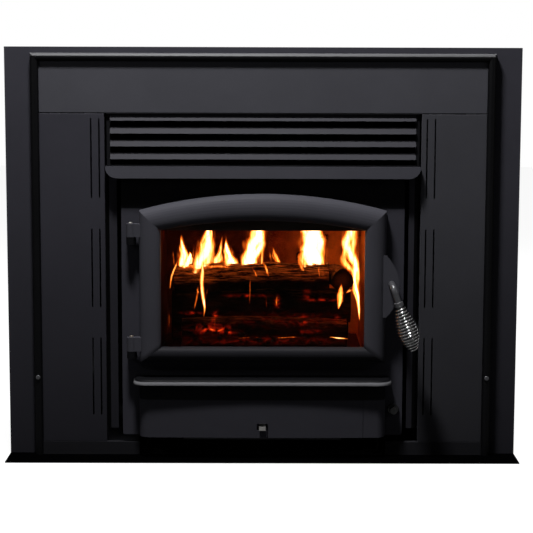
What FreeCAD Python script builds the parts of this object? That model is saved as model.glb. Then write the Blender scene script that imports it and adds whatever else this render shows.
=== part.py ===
import FreeCAD, Part
import math
import os

# Zero clearance wood fireplace: a firebox with an arched glass door inside a
# sheet metal casing, dressed with a painted steel surround.
# Frame: X to the right, Y to the back, Z up, in millimetres.
# The origin is on the floor, at mid width, in the plane of the finished wall.

V = FreeCAD.Vector

# General stock and clearances
overrun = 6.0
sheet = 1.5
heavy_sheet = 2.0
boiler_plate = 6.0
running_clearance = 0.05
slide_clearance = 0.4

# Floor and casing
floor_sheet = 2.0
wall_lap = 78.0
back_air_gap = 150.0
cabinet_drop = 70.0
front_return = 30.0
shield_gap = 35.0
shield_front = 40.0
shield_length = 340.0
shield_headroom = 50.0
shield_side_margin = 50.0
standoff_height = 45.0
standoff_foot = 30.0
standoff_width = 40.0
standoff_margin = 70.0

# Hold-down tabs beside the casing
tab_reach = 40.0
tab_width = 50.0
tab_rise = 40.0
tab_thickness = 3.0
tab_hole_radius = 5.5
tab_front = 85.0
tab_spacing = 360.0

# Chimney and outside air
flue_radius = 76.2
flue_wall = 1.5
flue_seat = 6.0
flue_from_back = 150.0
flue_above_casing = 45.0
casing_pipe_radius = 101.6
anchor_plate_width = 280.0
anchor_collar_height = 38.0
air_inlet_radius = 50.0
air_inlet_length = 36.0
air_inlet_flange = 15.0
air_inlet_height = 120.0
air_inlet_from_back = 90.0

# Firebox
base_height = 150.0
brick_thickness = 28.0
brick_joint = 1.0
brick_chamfer = 2.0
brick_columns = 4
brick_rows = 3
brick_courses = 2
brick_setback = 2.0
firebox_depth = 401.0
mouth_width = 420.0
mouth_height = 241.0
mouth_sill = 28.0
mouth_corner = 10.0
tube_radius = 10.5
tube_wall = 2.0
tube_count = 4
tube_above_mouth = 18.0
tube_first = 60.0
tube_pitch = 80.0
tube_entry = 8.0
tube_hole_clearance = 0.2
channel_wall = 2.0
channel_front = 30.0
channel_length = 320.0
baffle_thickness = 22.0
baffle_front = 40.0
baffle_side_gap = 1.0
smoke_gap = 34.0

# Stove base
leg_wall = 3.0
leg_flange = 30.0
leg_inset = 10.0
leg_front = 20.0
leg_length = 350.0

# Front plate
face_width = 560.0
face_thickness = 8.0
face_setout = 15.0
face_bottom = 43.0
face_head = 51.0
face_corner = 4.0
blower_window_width = 330.0
blower_window_height = 62.0
blower_window_bottom = 66.0

# Door casting and its glass
window_width = 402.0
window_sill_rise = 11.0
window_side_height = 233.0
window_rise = 19.0
door_side_band = 42.5
door_bottom_band = 31.0
door_corner_band = 38.0
door_rise = 33.0
door_depth = 32.0
door_gap = 3.0
door_outer_fall = 18.0
door_inner_fall = 10.0
door_outer_share = 0.58
door_inner_share = 0.4
door_round_steps = 8
glass_thickness = 5.0
glass_margin = 10.5
pocket_margin = 12.0
lip_depth = 19.0
glass_gasket_thickness = 1.5
glass_gasket_margin = 2.0
retainer_margin = 4.0
retainer_thickness = 5.0
rope_offset = 15.5
rope_width = 9.0
rope_groove_depth = 8.0
rope_side_gap = 0.3
rope_round = 3.0

# Hinges
hinge_side_gap = 16.5
hinge_from_face = 19.0
knuckle_radius = 9.0
pin_radius = 4.0
pin_tip = 3.0
pin_tip_round = 1.5
knuckle_web_depth = 13.0
knuckle_web_reach = 8.0
upper_lug_rise = 235.0
upper_lug_height = 15.0
upper_knuckle_height = 26.0
lower_lug_rise = 8.0
lower_lug_height = 14.0
lower_knuckle_height = 28.0
knuckle_gap = 0.4

# Latch
ear_half_height = 61.5
ear_reach = 25.5
ear_rise = 153.5
ear_thickness = 9.0
ear_from_face = 20.0
ear_root = 16.0
latch_from_door = 10.5
latch_above_ear = 5.5
handle_rod_radius = 6.35
pawl_length = 20.0
pawl_width = 9.0
pawl_thickness = 6.0
pawl_hub_radius = 9.5
pawl_lean = 40.0
pawl_gap = 5.0
keeper_lip_thickness = 2.5
keeper_gap = 1.0
keeper_width = 13.5
keeper_riser = 6.0
keeper_lip_height = 10.0
keeper_drop = 21.5
keeper_inset = 1.5

# Handle and its coiled grip
handle_reach = 63.0
handle_bend = 14.0
handle_lean = 18.5
handle_rod_length = 112.0
grip_start = 44.0
grip_length = 90.0
grip_turns = 15
grip_wire_radius = 1.8
grip_start_radius = 8.5
grip_belly_radius = 20.5
grip_tip_radius = 6.2
grip_belly_share = 0.58
grip_steps_per_turn = 4
ferrule_radius = 9.0
ferrule_length = 9.0
ferrule_round = 1.2

# Ash shelf and lower cover
shelf_gap = 30.0
shelf_height = 12.0
shelf_width = 513.0
shelf_reach = 50.0
shelf_overhang = 11.5
shelf_corner = 28.0
shelf_wall = 5.0
shelf_top_round = 10.0
shelf_bottom_round = 1.0
cover_corner = 20.0
cover_bow = 4.0
cover_wall = 2.0
cover_bottom = 45.0
cover_seam_from_end = 45.0
cover_seam = 0.8
slide_slot_width = 22.0
slide_slot_height = 14.0
slide_slot_bottom = 59.5
cover_slit = 2.0

# Air control
slide_travel = 25.0
slide_bar_width = 13.0
slide_bar_thickness = 2.0
slide_tab_height = 8.0
slide_tab_gap = 2.0
slide_drop_from_face = 8.0
shutter_width = 50.0
shutter_length = 50.0
shutter_spare = 9.0
shutter_lift = 0.3
guide_wall = 2.0
guide_lip = 7.0
guide_overlap = 8.0
air_port_width = 36.0
air_port_inset = 10.0
doghouse_wall = 2.0
doghouse_margin = 4.0
doghouse_rise = 12.0
doghouse_hole_radius = 4.0
doghouse_hole_pitch = 14.0
doghouse_hole_count = 3

# Blower
blower_plate_width = 330.0
blower_plate_depth = 170.0
blower_plate_thickness = 2.0
blower_center_y = 200.0
scroll_start_radius = 46.0
scroll_growth = 5.0
scroll_width = 62.0
scroll_throat_length = 24.0
scroll_gap = 12.0
scroll_inlet_radius = 33.0
motor_radius = 36.0
motor_length = 84.0
motor_end_round = 8.0
motor_foot_width = 40.0
motor_foot_depth = 56.0
wheel_radius = 41.0
wheel_width = 48.0
wheel_disc = 2.0
wheel_ring = 8.0
blade_count = 20
blade_thickness = 1.2
blade_chord = 8.0
blade_lean = 35.0
blower_shaft_radius = 4.0
hub_radius = 9.0
hub_length = 12.0

# Speed control
knob_from_face_edge = 18.0
knob_z = 96.0
knob_radius = 11.5
knob_skirt = 4.0
knob_grip_radius = 8.5
knob_depth = 20.0
knob_gap = 0.8
knob_round = 1.5
knob_pointer = 1.6
knob_shaft_radius = 3.0
control_width = 30.0
control_height = 34.0
control_depth = 24.0
control_socket = 12.0

# Surround
flange_thickness = 3.0
flange_margin = 52.0
flange_head_margin = 12.0
flange_leg = 88.0
flange_head = 80.0
strip_reach = 80.0
strip_round = 1.2
jamb_gap = 9.0
jamb_width = 17.0
jamb_setout = 8.0
jamb_lap = 12.0
jamb_bottom = 55.0
panel_side_gap = 6.0
panel_setout = 14.0
panel_gap = 1.5
panel_fold_round = 1.0
side_panel_width = 128.0
top_panel_height = 100.5
trim_width = 16.0
trim_depth = 19.0
screw_z = 160.0
screw_head_radius = 4.6
screw_head_height = 2.6
screw_head_round = 1.6
screw_shank_radius = 2.0
screw_hole_clearance = 0.1
rail_height = 26.0
rail_setout = 16.0
rail_length = 193.0
slot_width = 3.0
slot_length = 157.0
slot_pitch = 218.0
slot_rows = 3
slot_first = 55.0
slot_insets = (10.5, 26.5)
louver_gap = 4.0
louver_height = 104.5
louver_wall = 2.0
louver_back = 10.0
louver_post = 7.0
louver_post_setback = 5.0
slat_count = 4
slat_pitch = 25.2
slat_first = 13.0
slat_rise = 13.0
slat_depth = 7.0
slat_setback = 1.0
visor_gap = 2.0
visor_ledge = 10.0
visor_reach = 9.0
visor_drop = 22.5
visor_corner = 24.0
visor_flange = 20.0

# Places that follow from the sizes above
firebox_z = floor_sheet + base_height
hearth_z = firebox_z + boiler_plate + brick_thickness
mouth_z = hearth_z + mouth_sill
mouth_top = mouth_z + mouth_height
face_y = -face_setout
face_back = face_y + face_thickness
face_half = face_width / 2
lining_half = mouth_width / 2 + brick_setback
firebox_inner_half = lining_half + brick_thickness
firebox_half = firebox_inner_half + boiler_plate
firebox_back = face_back + firebox_depth
brick_back = firebox_back - boiler_plate
tube_z = mouth_top + tube_above_mouth
baffle_z = tube_z + tube_radius
firebox_ceiling = baffle_z + baffle_thickness + smoke_gap
firebox_top = firebox_ceiling + boiler_plate
window_half = window_width / 2
window_z = mouth_z + window_sill_rise
window_corner = window_z + window_side_height
door_half = window_half + door_side_band
door_z = window_z - door_bottom_band
door_corner = window_corner + door_corner_band
door_back = face_y - door_gap
door_front = door_back - door_depth
door_apex = door_corner + door_rise
seat_y = door_front + lip_depth
glass_y = seat_y + glass_gasket_thickness
hinge_x = -(door_half + hinge_side_gap)
hinge_y = face_y - hinge_from_face
upper_lug_bottom = door_z + upper_lug_rise
lower_lug_bottom = door_z + lower_lug_rise
ear_center_z = door_z + ear_rise
latch_z = ear_center_z + latch_above_ear
latch_x = door_half + latch_from_door
ear_back = face_y - ear_from_face
ear_front = ear_back - ear_thickness
pawl_back = ear_back + pawl_gap + pawl_thickness
grip_y = face_y - handle_reach
face_top = door_apex + face_head
shelf_z = door_z - shelf_gap - shelf_height
shelf_front = face_y - shelf_reach
cover_half_width = shelf_width / 2 - shelf_overhang
cover_front = shelf_front + shelf_overhang
cover_top = shelf_z + shelf_height - shelf_wall
panel_inner = face_half + jamb_gap + jamb_width + panel_side_gap
panel_outer = panel_inner + side_panel_width
trim_outer = panel_outer + trim_width
surround_half = trim_outer + flange_margin
panel_y = -panel_setout
flange_y = -flange_thickness
louver_z = face_top + heavy_sheet
louver_top = louver_z + louver_height
top_panel_top = louver_top + top_panel_height
trim_top = top_panel_top + trim_width
surround_top = trim_top + flange_head_margin
rail_top = floor_sheet + rail_height
louver_half = panel_inner - louver_gap
slat_half = louver_half - louver_post
cabinet_half = surround_half - wall_lap
cabinet_back = firebox_back + back_air_gap
cabinet_top = surround_top - cabinet_drop
flue_y = brick_back - flue_from_back
flue_top = cabinet_top + flue_above_casing
knob_x = face_half - knob_from_face_edge
shutter_front = face_back + slide_travel + shutter_spare
shutter_z = firebox_z - shutter_lift - slide_bar_thickness
blower_plate_top = floor_sheet + blower_plate_thickness
blower_z = blower_plate_top + scroll_start_radius + scroll_growth
handle_direction = V(math.sin(math.radians(handle_lean)), 0, -math.cos(math.radians(handle_lean)))
handle_center = V(latch_x, grip_y, latch_z)


def block(x0, x1, y0, y1, z0, z1):
    """A box between two corners."""
    return Part.makeBox(x1 - x0, y1 - y0, z1 - z0, V(x0, y0, z0))


def rod(radius, start, end):
    """A round bar from one point to another."""
    return Part.makeCylinder(radius, (end - start).Length, start, end - start)


def tube(outer, inner, start, end):
    """A round tube from one point to another."""
    along = (end - start).normalize() * overrun
    return rod(outer, start, end).cut(rod(inner, start - along, end + along))


def mirrored(shape):
    """The same piece on the other side of the middle."""
    return shape.mirror(V(0, 0, 0), V(1, 0, 0))


def both_sides(shape):
    """A left and a right copy as one group."""
    return Part.makeCompound([mirrored(shape), shape])


def joined(shapes):
    """One solid out of overlapping or touching ones."""
    return shapes[0].fuse(shapes[1:]).removeSplitter()


def prism(points, axis, start, end):
    """A flat outline pushed along X (points are y, z), Y (x, z) or Z (x, y)."""
    place = {
        "X": lambda a, b: V(start, a, b),
        "Y": lambda a, b: V(a, start, b),
        "Z": lambda a, b: V(a, b, start),
    }[axis]
    push = {"X": V(end - start, 0, 0), "Y": V(0, end - start, 0), "Z": V(0, 0, end - start)}[axis]
    corners = [place(a, b) for a, b in points]
    return Part.Face(Part.makePolygon(corners + corners[:1])).extrude(push)


def folded(line, thickness):
    """The outline of a folded sheet: its bend line, and that line set off to its left."""
    sides = []
    for (a, b), (c, d) in zip(line, line[1:]):
        length = math.hypot(c - a, d - b)
        sides.append(((b - d) / length, (c - a) / length))
    offset = []
    for i, (a, b) in enumerate(line):
        n = sides[max(i - 1, 0)]
        m = sides[min(i, len(sides) - 1)]
        reach = thickness / (1 + n[0] * m[0] + n[1] * m[1])
        offset.append((a + reach * (n[0] + m[0]), b + reach * (n[1] + m[1])))
    return line + offset[::-1]


def edges_where(shape, test):
    """The edges whose every end and middle pass a test."""
    chosen = []
    for edge in shape.Edges:
        spots = [v.Point for v in edge.Vertexes]
        spots.append(edge.valueAt((edge.FirstParameter + edge.LastParameter) / 2))
        if all(test(p) for p in spots):
            chosen.append(edge)
    return chosen


def near(a, b):
    """Whether two places are the same to the eye of a modeller."""
    return abs(a - b) < running_clearance


def rounded_block(x0, x1, y0, y1, z0, z1, radius):
    """A box whose four edges along Y are rounded."""
    body = block(x0, x1, y0, y1, z0, z1)
    corners = [e for e in body.Edges if near(abs(e.tangentAt(e.FirstParameter).y), 1)]
    return body.makeFillet(radius, corners)


def arched(margin, y0, y1):
    """A window-shaped slab with an arched head, wider than the window by a margin all round."""
    half = window_half + margin
    low = window_z - margin
    high = window_corner + margin
    return arch_slab(half, low, high, window_rise, y0, y1)


def arch_wire(half, low, high, rise, y):
    """An outline with straight sides and a circular arch across its top."""
    corners = [V(-half, y, high), V(-half, y, low), V(half, y, low), V(half, y, high)]
    edges = [Part.LineSegment(a, b).toShape() for a, b in zip(corners, corners[1:])]
    edges.append(Part.Arc(corners[3], V(0, y, high + rise), corners[0]).toShape())
    return Part.Wire(edges)


def arch_slab(half, low, high, rise, y0, y1):
    """A slab with that outline."""
    return Part.Face(arch_wire(half, low, high, rise, y0)).extrude(V(0, y1 - y0, 0))


# Floor, casing and chimney


def make_spark_strip():
    strip = block(-surround_half, surround_half, -strip_reach, 0, 0, floor_sheet)
    front = edges_where(strip, lambda p: near(p.y, -strip_reach) and near(p.z, floor_sheet))
    strip = strip.makeFillet(strip_round, front)
    notch = block(-cabinet_half, cabinet_half, panel_y, overrun, -overrun, floor_sheet + overrun)
    return strip.cut(notch)


def make_cabinet_floor():
    return block(-cabinet_half, cabinet_half, panel_y, cabinet_back, 0, floor_sheet)


def make_cabinet_sides():
    line = [
        (cabinet_half - front_return, 0),
        (cabinet_half, 0),
        (cabinet_half, cabinet_back),
    ]
    right = prism(folded(line, sheet), "Z", floor_sheet, cabinet_top - sheet)
    left = mirrored(right).cut(air_inlet_bore(air_inlet_radius + sheet))
    return Part.makeCompound([left, right])


def make_cabinet_back():
    half = cabinet_half - sheet
    return block(-half, half, cabinet_back - sheet, cabinet_back, floor_sheet, cabinet_top - sheet)


def make_cabinet_top():
    lid = block(-cabinet_half, cabinet_half, 0, cabinet_back, cabinet_top - sheet, cabinet_top)
    return lid.cut(casing_pipe_bore())


def make_heat_shields():
    outer = cabinet_half - sheet
    inner = outer - shield_gap
    end = shield_front + shield_length
    low = floor_sheet
    high = cabinet_top - shield_headroom
    side_line = [(outer, shield_front), (inner, shield_front), (inner, end), (outer, end)]
    side = prism(folded(side_line, -sheet), "Z", low, high)
    back_outer = cabinet_back - sheet
    back_inner = back_outer - shield_gap
    half = cabinet_half - shield_side_margin
    back_line = [(-half, back_outer), (-half, back_inner), (half, back_inner), (half, back_outer)]
    back = prism(folded(back_line, sheet), "Z", low, high)
    return Part.makeCompound([mirrored(side), side, back])


def make_top_standoffs():
    x = cabinet_half - standoff_margin
    line = [
        (x + standoff_foot, cabinet_top),
        (x, cabinet_top),
        (x, cabinet_top + standoff_height),
        (x - standoff_foot, cabinet_top + standoff_height),
    ]
    copies = []
    for y in (standoff_margin, cabinet_back - standoff_margin - standoff_width):
        right = prism(folded(line, -sheet), "Y", y, y + standoff_width)
        copies += [mirrored(right), right]
    return Part.makeCompound(copies)


def make_hold_down_tabs():
    line = [
        (cabinet_half + tab_reach, 0),
        (cabinet_half, 0),
        (cabinet_half, tab_rise),
    ]
    copies = []
    for y in (tab_front, tab_front + tab_spacing):
        tab = prism(folded(line, -tab_thickness), "Y", y - tab_width / 2, y + tab_width / 2)
        x = cabinet_half + tab_reach / 2
        hole = rod(tab_hole_radius, V(x, y, -overrun), V(x, y, tab_thickness + overrun))
        right = tab.cut(hole)
        copies += [mirrored(right), right]
    return Part.makeCompound(copies)


def casing_pipe_bore():
    top = V(0, flue_y, cabinet_top + anchor_collar_height + overrun)
    return rod(casing_pipe_radius, V(0, flue_y, cabinet_top - sheet - overrun), top)


def make_chimney_anchor():
    half = anchor_plate_width / 2
    base = block(-half, half, flue_y - half, flue_y + half, cabinet_top, cabinet_top + sheet)
    start = V(0, flue_y, cabinet_top)
    collar = rod(casing_pipe_radius + sheet, start, start + V(0, 0, anchor_collar_height))
    return joined([base, collar]).cut(casing_pipe_bore())


def make_flue_pipe():
    start = V(0, flue_y, firebox_top)
    return tube(flue_radius + flue_wall, flue_radius, start, V(0, flue_y, flue_top))


def air_inlet_center(x):
    return V(x, cabinet_back - air_inlet_from_back, air_inlet_height)


def air_inlet_bore(radius):
    outside = air_inlet_center(-cabinet_half - air_inlet_length - overrun)
    return rod(radius, air_inlet_center(-cabinet_half + sheet + overrun), outside)


def make_outside_air_collar():
    wall = air_inlet_center(-cabinet_half)
    flange = rod(air_inlet_radius + air_inlet_flange, wall, wall - V(sheet, 0, 0))
    pipe = rod(air_inlet_radius + sheet, wall, wall - V(air_inlet_length, 0, 0))
    return joined([flange, pipe]).cut(air_inlet_bore(air_inlet_radius))


# Firebox, lining and burn-air parts


def make_firebox_sides():
    side = block(firebox_inner_half, firebox_half, face_back, firebox_back, firebox_z, firebox_top)
    return both_sides(side)


def make_firebox_back():
    half = firebox_inner_half
    return block(-half, half, brick_back, firebox_back, firebox_z, firebox_top)


def make_firebox_top():
    half = firebox_inner_half
    top = block(-half, half, face_back, brick_back, firebox_ceiling, firebox_top)
    hole = rod(
        flue_radius - flue_seat,
        V(0, flue_y, firebox_ceiling - overrun),
        V(0, flue_y, firebox_top + overrun),
    )
    return top.cut(hole)


def make_firebox_floor():
    half = firebox_inner_half
    floor = block(-half, half, face_back, brick_back, firebox_z, firebox_z + boiler_plate)
    port_half = air_port_width / 2
    port = block(
        -port_half,
        port_half,
        shutter_front + air_port_inset,
        shutter_front + shutter_length - air_port_inset,
        firebox_z - overrun,
        firebox_z + boiler_plate + overrun,
    )
    return floor.cut(port)


def make_slide_guides():
    inner = shutter_width / 2 + slide_clearance
    lip_top = shutter_z - slide_clearance
    line = [
        (inner + guide_wall, firebox_z),
        (inner + guide_wall, lip_top - guide_wall),
        (inner + guide_wall - guide_lip, lip_top - guide_wall),
    ]
    end = shutter_front + shutter_length + guide_overlap
    return both_sides(prism(folded(line, -guide_wall), "Y", face_back, end))


def brick(x0, x1, y0, y1, z0, z1):
    """One firebrick with broken edges."""
    body = block(x0, x1, y0, y1, z0, z1)
    return body.makeChamfer(brick_chamfer, body.Edges)


def spans(start, end, count):
    """Equal stretches between two places, a brick joint apart."""
    pitch = (end - start + brick_joint) / count
    return [(start + i * pitch, start + (i + 1) * pitch - brick_joint) for i in range(count)]


def make_firebricks_floor():
    half = firebox_inner_half
    low = firebox_z + boiler_plate
    side, front, back = doghouse_footprint()
    pocket = block(
        -side - brick_joint,
        side + brick_joint,
        front - brick_joint,
        back + brick_joint,
        low - overrun,
        hearth_z + overrun,
    )
    bricks = []
    for x0, x1 in spans(-half, half, brick_columns):
        for y0, y1 in spans(face_back, brick_back, brick_rows):
            bricks.append(brick(x0, x1, y0, y1, low, hearth_z))
    return Part.makeCompound([b.cut(pocket) for b in bricks])


def wall_brick_top():
    return tube_z - brick_thickness / 2 - brick_joint


def make_firebricks_sides():
    bricks = []
    for y0, y1 in spans(face_back, brick_back - brick_thickness - brick_joint, brick_rows):
        for z0, z1 in spans(hearth_z, wall_brick_top(), brick_courses):
            bricks.append(brick(lining_half, firebox_inner_half, y0, y1, z0, z1))
    return Part.makeCompound([mirrored(b) for b in bricks] + bricks)


def make_firebricks_back():
    half = firebox_inner_half
    bricks = []
    for x0, x1 in spans(-half, half, brick_columns):
        for z0, z1 in spans(hearth_z, wall_brick_top(), brick_courses):
            bricks.append(brick(x0, x1, brick_back - brick_thickness, brick_back, z0, z1))
    return Part.makeCompound(bricks)


def doghouse_footprint():
    """Half width, front and back of the primary air box."""
    return (
        air_port_width / 2 + doghouse_margin,
        shutter_front + air_port_inset - doghouse_margin,
        shutter_front + shutter_length - air_port_inset + doghouse_margin,
    )


def make_air_doghouse():
    side, front, back = doghouse_footprint()
    low = firebox_z + boiler_plate
    high = hearth_z + doghouse_rise
    t = doghouse_wall
    shell = block(-side, side, front, back, low, high)
    shell = shell.cut(block(-side + t, side - t, front + t, back - t, low - overrun, high - t))
    z = (hearth_z + high) / 2
    for i in range(doghouse_hole_count):
        x = (i - (doghouse_hole_count - 1) / 2) * doghouse_hole_pitch
        shell = shell.cut(rod(doghouse_hole_radius, V(x, front - overrun, z), V(x, front + overrun, z)))
    return shell


def tube_places():
    return [tube_first + i * tube_pitch for i in range(tube_count)]


def make_air_channels():
    low = tube_z - brick_thickness / 2
    high = tube_z + brick_thickness / 2
    end = channel_front + channel_length
    t = channel_wall
    box = block(lining_half, firebox_inner_half, channel_front, end, low, high)
    hollow = block(lining_half + t, firebox_inner_half - t, channel_front + t, end - t, low + t, high - t)
    box = box.cut(hollow)
    radius = tube_radius + tube_hole_clearance
    for y in tube_places():
        start = V(lining_half - overrun, y, tube_z)
        box = box.cut(rod(radius, start, V(lining_half + overrun, y, tube_z)))
    return both_sides(box)


def make_air_tubes():
    reach = lining_half + tube_entry
    tubes = []
    for y in tube_places():
        tubes.append(tube(tube_radius, tube_radius - tube_wall, V(-reach, y, tube_z), V(reach, y, tube_z)))
    return Part.makeCompound(tubes)


def make_baffle_board():
    half = lining_half - baffle_side_gap
    return block(-half, half, baffle_front, brick_back, baffle_z, baffle_z + baffle_thickness)


def make_stove_base():
    x = firebox_half - leg_inset
    line = [
        (x - leg_flange, floor_sheet),
        (x, floor_sheet),
        (x, firebox_z),
        (x - leg_flange, firebox_z),
    ]
    return both_sides(prism(folded(line, leg_wall), "Y", leg_front, leg_front + leg_length))


# Front plate with the pieces fixed to it


def make_front_plate():
    plate = rounded_block(-face_half, face_half, face_y, face_back, face_bottom, face_top, face_corner)
    y0 = face_y - overrun
    y1 = face_back + overrun
    half = mouth_width / 2
    mouth = rounded_block(-half, half, y0, y1, mouth_z, mouth_top, mouth_corner)
    wide = blower_window_width / 2
    high = blower_window_bottom + blower_window_height
    inlet = rounded_block(-wide, wide, y0, y1, blower_window_bottom, high, mouth_corner)
    bar_half = slide_bar_width / 2 + slide_clearance
    bar = block(
        -bar_half,
        bar_half,
        y0,
        y1,
        shutter_z - slide_clearance,
        shutter_z + slide_bar_thickness + slide_clearance,
    )
    shaft = rod(knob_shaft_radius + running_clearance, V(knob_x, y0, knob_z), V(knob_x, y1, knob_z))
    return plate.cut([mouth, inlet, bar, shaft])


def hinge_stations():
    """Lug bottom, lug top and knuckle top of the upper and the lower hinge."""
    upper_top = upper_lug_bottom + upper_lug_height
    lower_top = lower_lug_bottom + lower_lug_height
    return [
        (upper_lug_bottom, upper_top, upper_top + knuckle_gap + upper_knuckle_height),
        (lower_lug_bottom, lower_top, lower_top + knuckle_gap + lower_knuckle_height),
    ]


def hinge_point(z):
    return V(hinge_x, hinge_y, z)


def make_hinge_lugs():
    lugs = []
    for low, high, _ in hinge_stations():
        barrel = rod(knuckle_radius, hinge_point(low), hinge_point(high))
        arm = block(hinge_x - knuckle_radius, hinge_x + knuckle_radius, hinge_y, face_y, low, high)
        bore = rod(pin_radius, hinge_point(low - overrun), hinge_point(high + overrun))
        lugs.append(joined([barrel, arm]).cut(bore))
    return Part.makeCompound(lugs)


def make_hinge_pins():
    pins = []
    for low, _, high in hinge_stations():
        pin = rod(pin_radius, hinge_point(low), hinge_point(high + pin_tip))
        crown = edges_where(pin, lambda p: near(p.z, high + pin_tip))
        pins.append(pin.makeFillet(pin_tip_round, crown))
    return Part.makeCompound(pins)


def make_latch_keeper():
    lip_back = ear_back + pawl_gap - keeper_gap
    lip_front = lip_back - keeper_lip_thickness
    x0 = latch_x - keeper_inset
    x1 = x0 + keeper_width
    base = latch_z - keeper_drop
    riser = block(x0, x1, lip_front, face_y, base - keeper_riser, base)
    lip_points = [
        (x0, base - keeper_riser),
        (x1, base - keeper_riser),
        (x1, base),
        (x0 + keeper_width / 2, base + keeper_lip_height),
        (x0, base + keeper_lip_height),
    ]
    lip = prism(lip_points, "Y", lip_front, lip_back)
    return joined([riser, lip])


def shelf_slab(inset, z0, z1):
    """The shelf seen from above, drawn in by an inset, pushed up between two heights."""
    half = shelf_width / 2 - inset
    front = shelf_front + inset
    slab = block(-half, half, front, face_y, z0, z1)
    corners = [
        e
        for e in slab.Edges
        if near(abs(e.tangentAt(e.FirstParameter).z), 1) and near(e.Vertexes[0].Point.y, front)
    ]
    return slab.makeFillet(shelf_corner - inset, corners)


def shelf_rim(body, z):
    """The shelf's edges at one height, without the one against the front plate."""
    level = edges_where(body, lambda p: near(p.z, z))
    return [e for e in level if not all(near(v.Point.y, face_y) for v in e.Vertexes)]


def make_ash_shelf():
    top = shelf_z + shelf_height
    body = shelf_slab(0, shelf_z, top)
    body = body.makeFillet(shelf_top_round, shelf_rim(body, top))
    body = body.makeFillet(shelf_bottom_round, shelf_rim(body, shelf_z))
    return body.cut(shelf_slab(shelf_wall, shelf_z - overrun, top - shelf_wall))


def cover_outline(inset):
    """The lower cover seen from above: two sides, round corners and a bowed front."""
    half = cover_half_width - inset
    front = cover_front + cover_bow + inset
    corner = cover_corner - inset
    slack = corner * (1 - math.cos(math.pi / 4))
    points = [
        V(-half, face_y, 0),
        V(-half, front + corner, 0),
        V(-half + slack, front + slack, 0),
        V(-half + corner, front, 0),
        V(0, front - cover_bow, 0),
        V(half - corner, front, 0),
        V(half - slack, front + slack, 0),
        V(half, front + corner, 0),
        V(half, face_y, 0),
    ]
    edges = [
        Part.LineSegment(points[0], points[1]).toShape(),
        Part.Arc(points[1], points[2], points[3]).toShape(),
        Part.Arc(points[3], points[4], points[5]).toShape(),
        Part.Arc(points[5], points[6], points[7]).toShape(),
        Part.LineSegment(points[7], points[8]).toShape(),
        Part.LineSegment(points[8], points[0]).toShape(),
    ]
    return Part.Face(Part.Wire(edges))


def cover_shell():
    outer = cover_outline(0).extrude(V(0, 0, cover_top - cover_bottom))
    inner = cover_outline(cover_wall).extrude(V(0, 0, cover_top - cover_bottom))
    outer.translate(V(0, 0, cover_bottom))
    inner.translate(V(0, 0, cover_bottom))
    return outer.cut(inner)


def cover_seam_x():
    return cover_half_width - cover_seam_from_end


def cover_half_space(x0, x1):
    y0 = cover_front - overrun
    return block(x0, x1, y0, face_y, cover_bottom - overrun, cover_top + overrun)


def make_lower_cover():
    end = cover_half_width + overrun
    cover = cover_shell().common(cover_half_space(-end, cover_seam_x() - cover_seam / 2))
    half = slide_slot_width / 2
    y0 = cover_front - overrun
    y1 = cover_front + cover_bow + overrun
    slot = block(-half, half, y0, y1, slide_slot_bottom, slide_slot_bottom + slide_slot_height)
    slit = block(half - cover_slit, half, y0, y1, cover_bottom - overrun, slide_slot_bottom + overrun)
    return cover.cut([slot, slit])


def make_cover_end():
    end = cover_half_width + overrun
    return cover_shell().common(cover_half_space(cover_seam_x() + cover_seam / 2, end))


def make_air_slide():
    half = slide_bar_width / 2
    tab_y = cover_front - slide_tab_gap
    drop_y = face_y - slide_drop_from_face
    bar_low = slide_slot_bottom + slide_slot_height / 2
    line = [
        (tab_y, bar_low - slide_tab_height + slide_bar_thickness),
        (tab_y, bar_low),
        (drop_y, bar_low),
        (drop_y, shutter_z),
        (shutter_front, shutter_z),
    ]
    bar = prism(folded(line, slide_bar_thickness), "X", -half, half)
    wide = shutter_width / 2
    high = shutter_z + slide_bar_thickness
    shutter = block(-wide, wide, shutter_front, shutter_front + shutter_length, shutter_z, high)
    return joined([bar, shutter])


# Blower and its speed control


def scroll_outline(inset, x):
    """A blower scroll seen from the side: four quarter arcs that widen step by step from the top."""
    center = V(x, blower_center_y, blower_z)
    radius = scroll_start_radius
    edges = []
    ends = []
    for quarter in range(4):
        angles = [math.pi / 2 * (1 + quarter + half / 2) for half in range(3)]
        ways = [V(0, -math.cos(a), math.sin(a)) for a in angles]
        spots = [center + way * (radius - inset) for way in ways]
        edges.append(Part.Arc(*spots).toShape())
        ends += [spots[0], spots[2]]
        center = center - ways[2] * scroll_growth
        radius += scroll_growth
    edges.append(Part.LineSegment(ends[-1], ends[0]).toShape())
    return Part.Face(Part.Wire(edges))


def scroll_throat(inset, x0, x1, end):
    """The straight outlet of a scroll, at its top and towards the back."""
    low = blower_z + scroll_start_radius
    high = low + 4 * scroll_growth
    return block(x0, x1, blower_center_y, end, low - inset, high - inset)


def scroll_place():
    """Inner and outer X of the right-hand scroll."""
    x0 = motor_length / 2 + scroll_gap
    return x0, x0 + scroll_width


def make_blower_housings():
    x0, x1 = scroll_place()
    end = blower_center_y + scroll_start_radius + scroll_throat_length
    outer = scroll_outline(0, x0).extrude(V(x1 - x0, 0, 0))
    outer = joined([outer, scroll_throat(0, x0, x1, end)])
    inner = scroll_outline(sheet, x0 + sheet).extrude(V(x1 - x0 - 2 * sheet, 0, 0))
    inner = joined([inner, scroll_throat(sheet, x0 + sheet, x1 - sheet, end + overrun)])
    eye = rod(scroll_inlet_radius, shaft_point(x0 - overrun), shaft_point(x1 + overrun))
    return both_sides(outer.cut([inner, eye]))


def make_blower_base():
    half = blower_plate_width / 2
    y0 = blower_center_y - blower_plate_depth / 2
    return block(-half, half, y0, y0 + blower_plate_depth, floor_sheet, blower_plate_top)


def shaft_point(x):
    return V(x, blower_center_y, blower_z)


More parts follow.
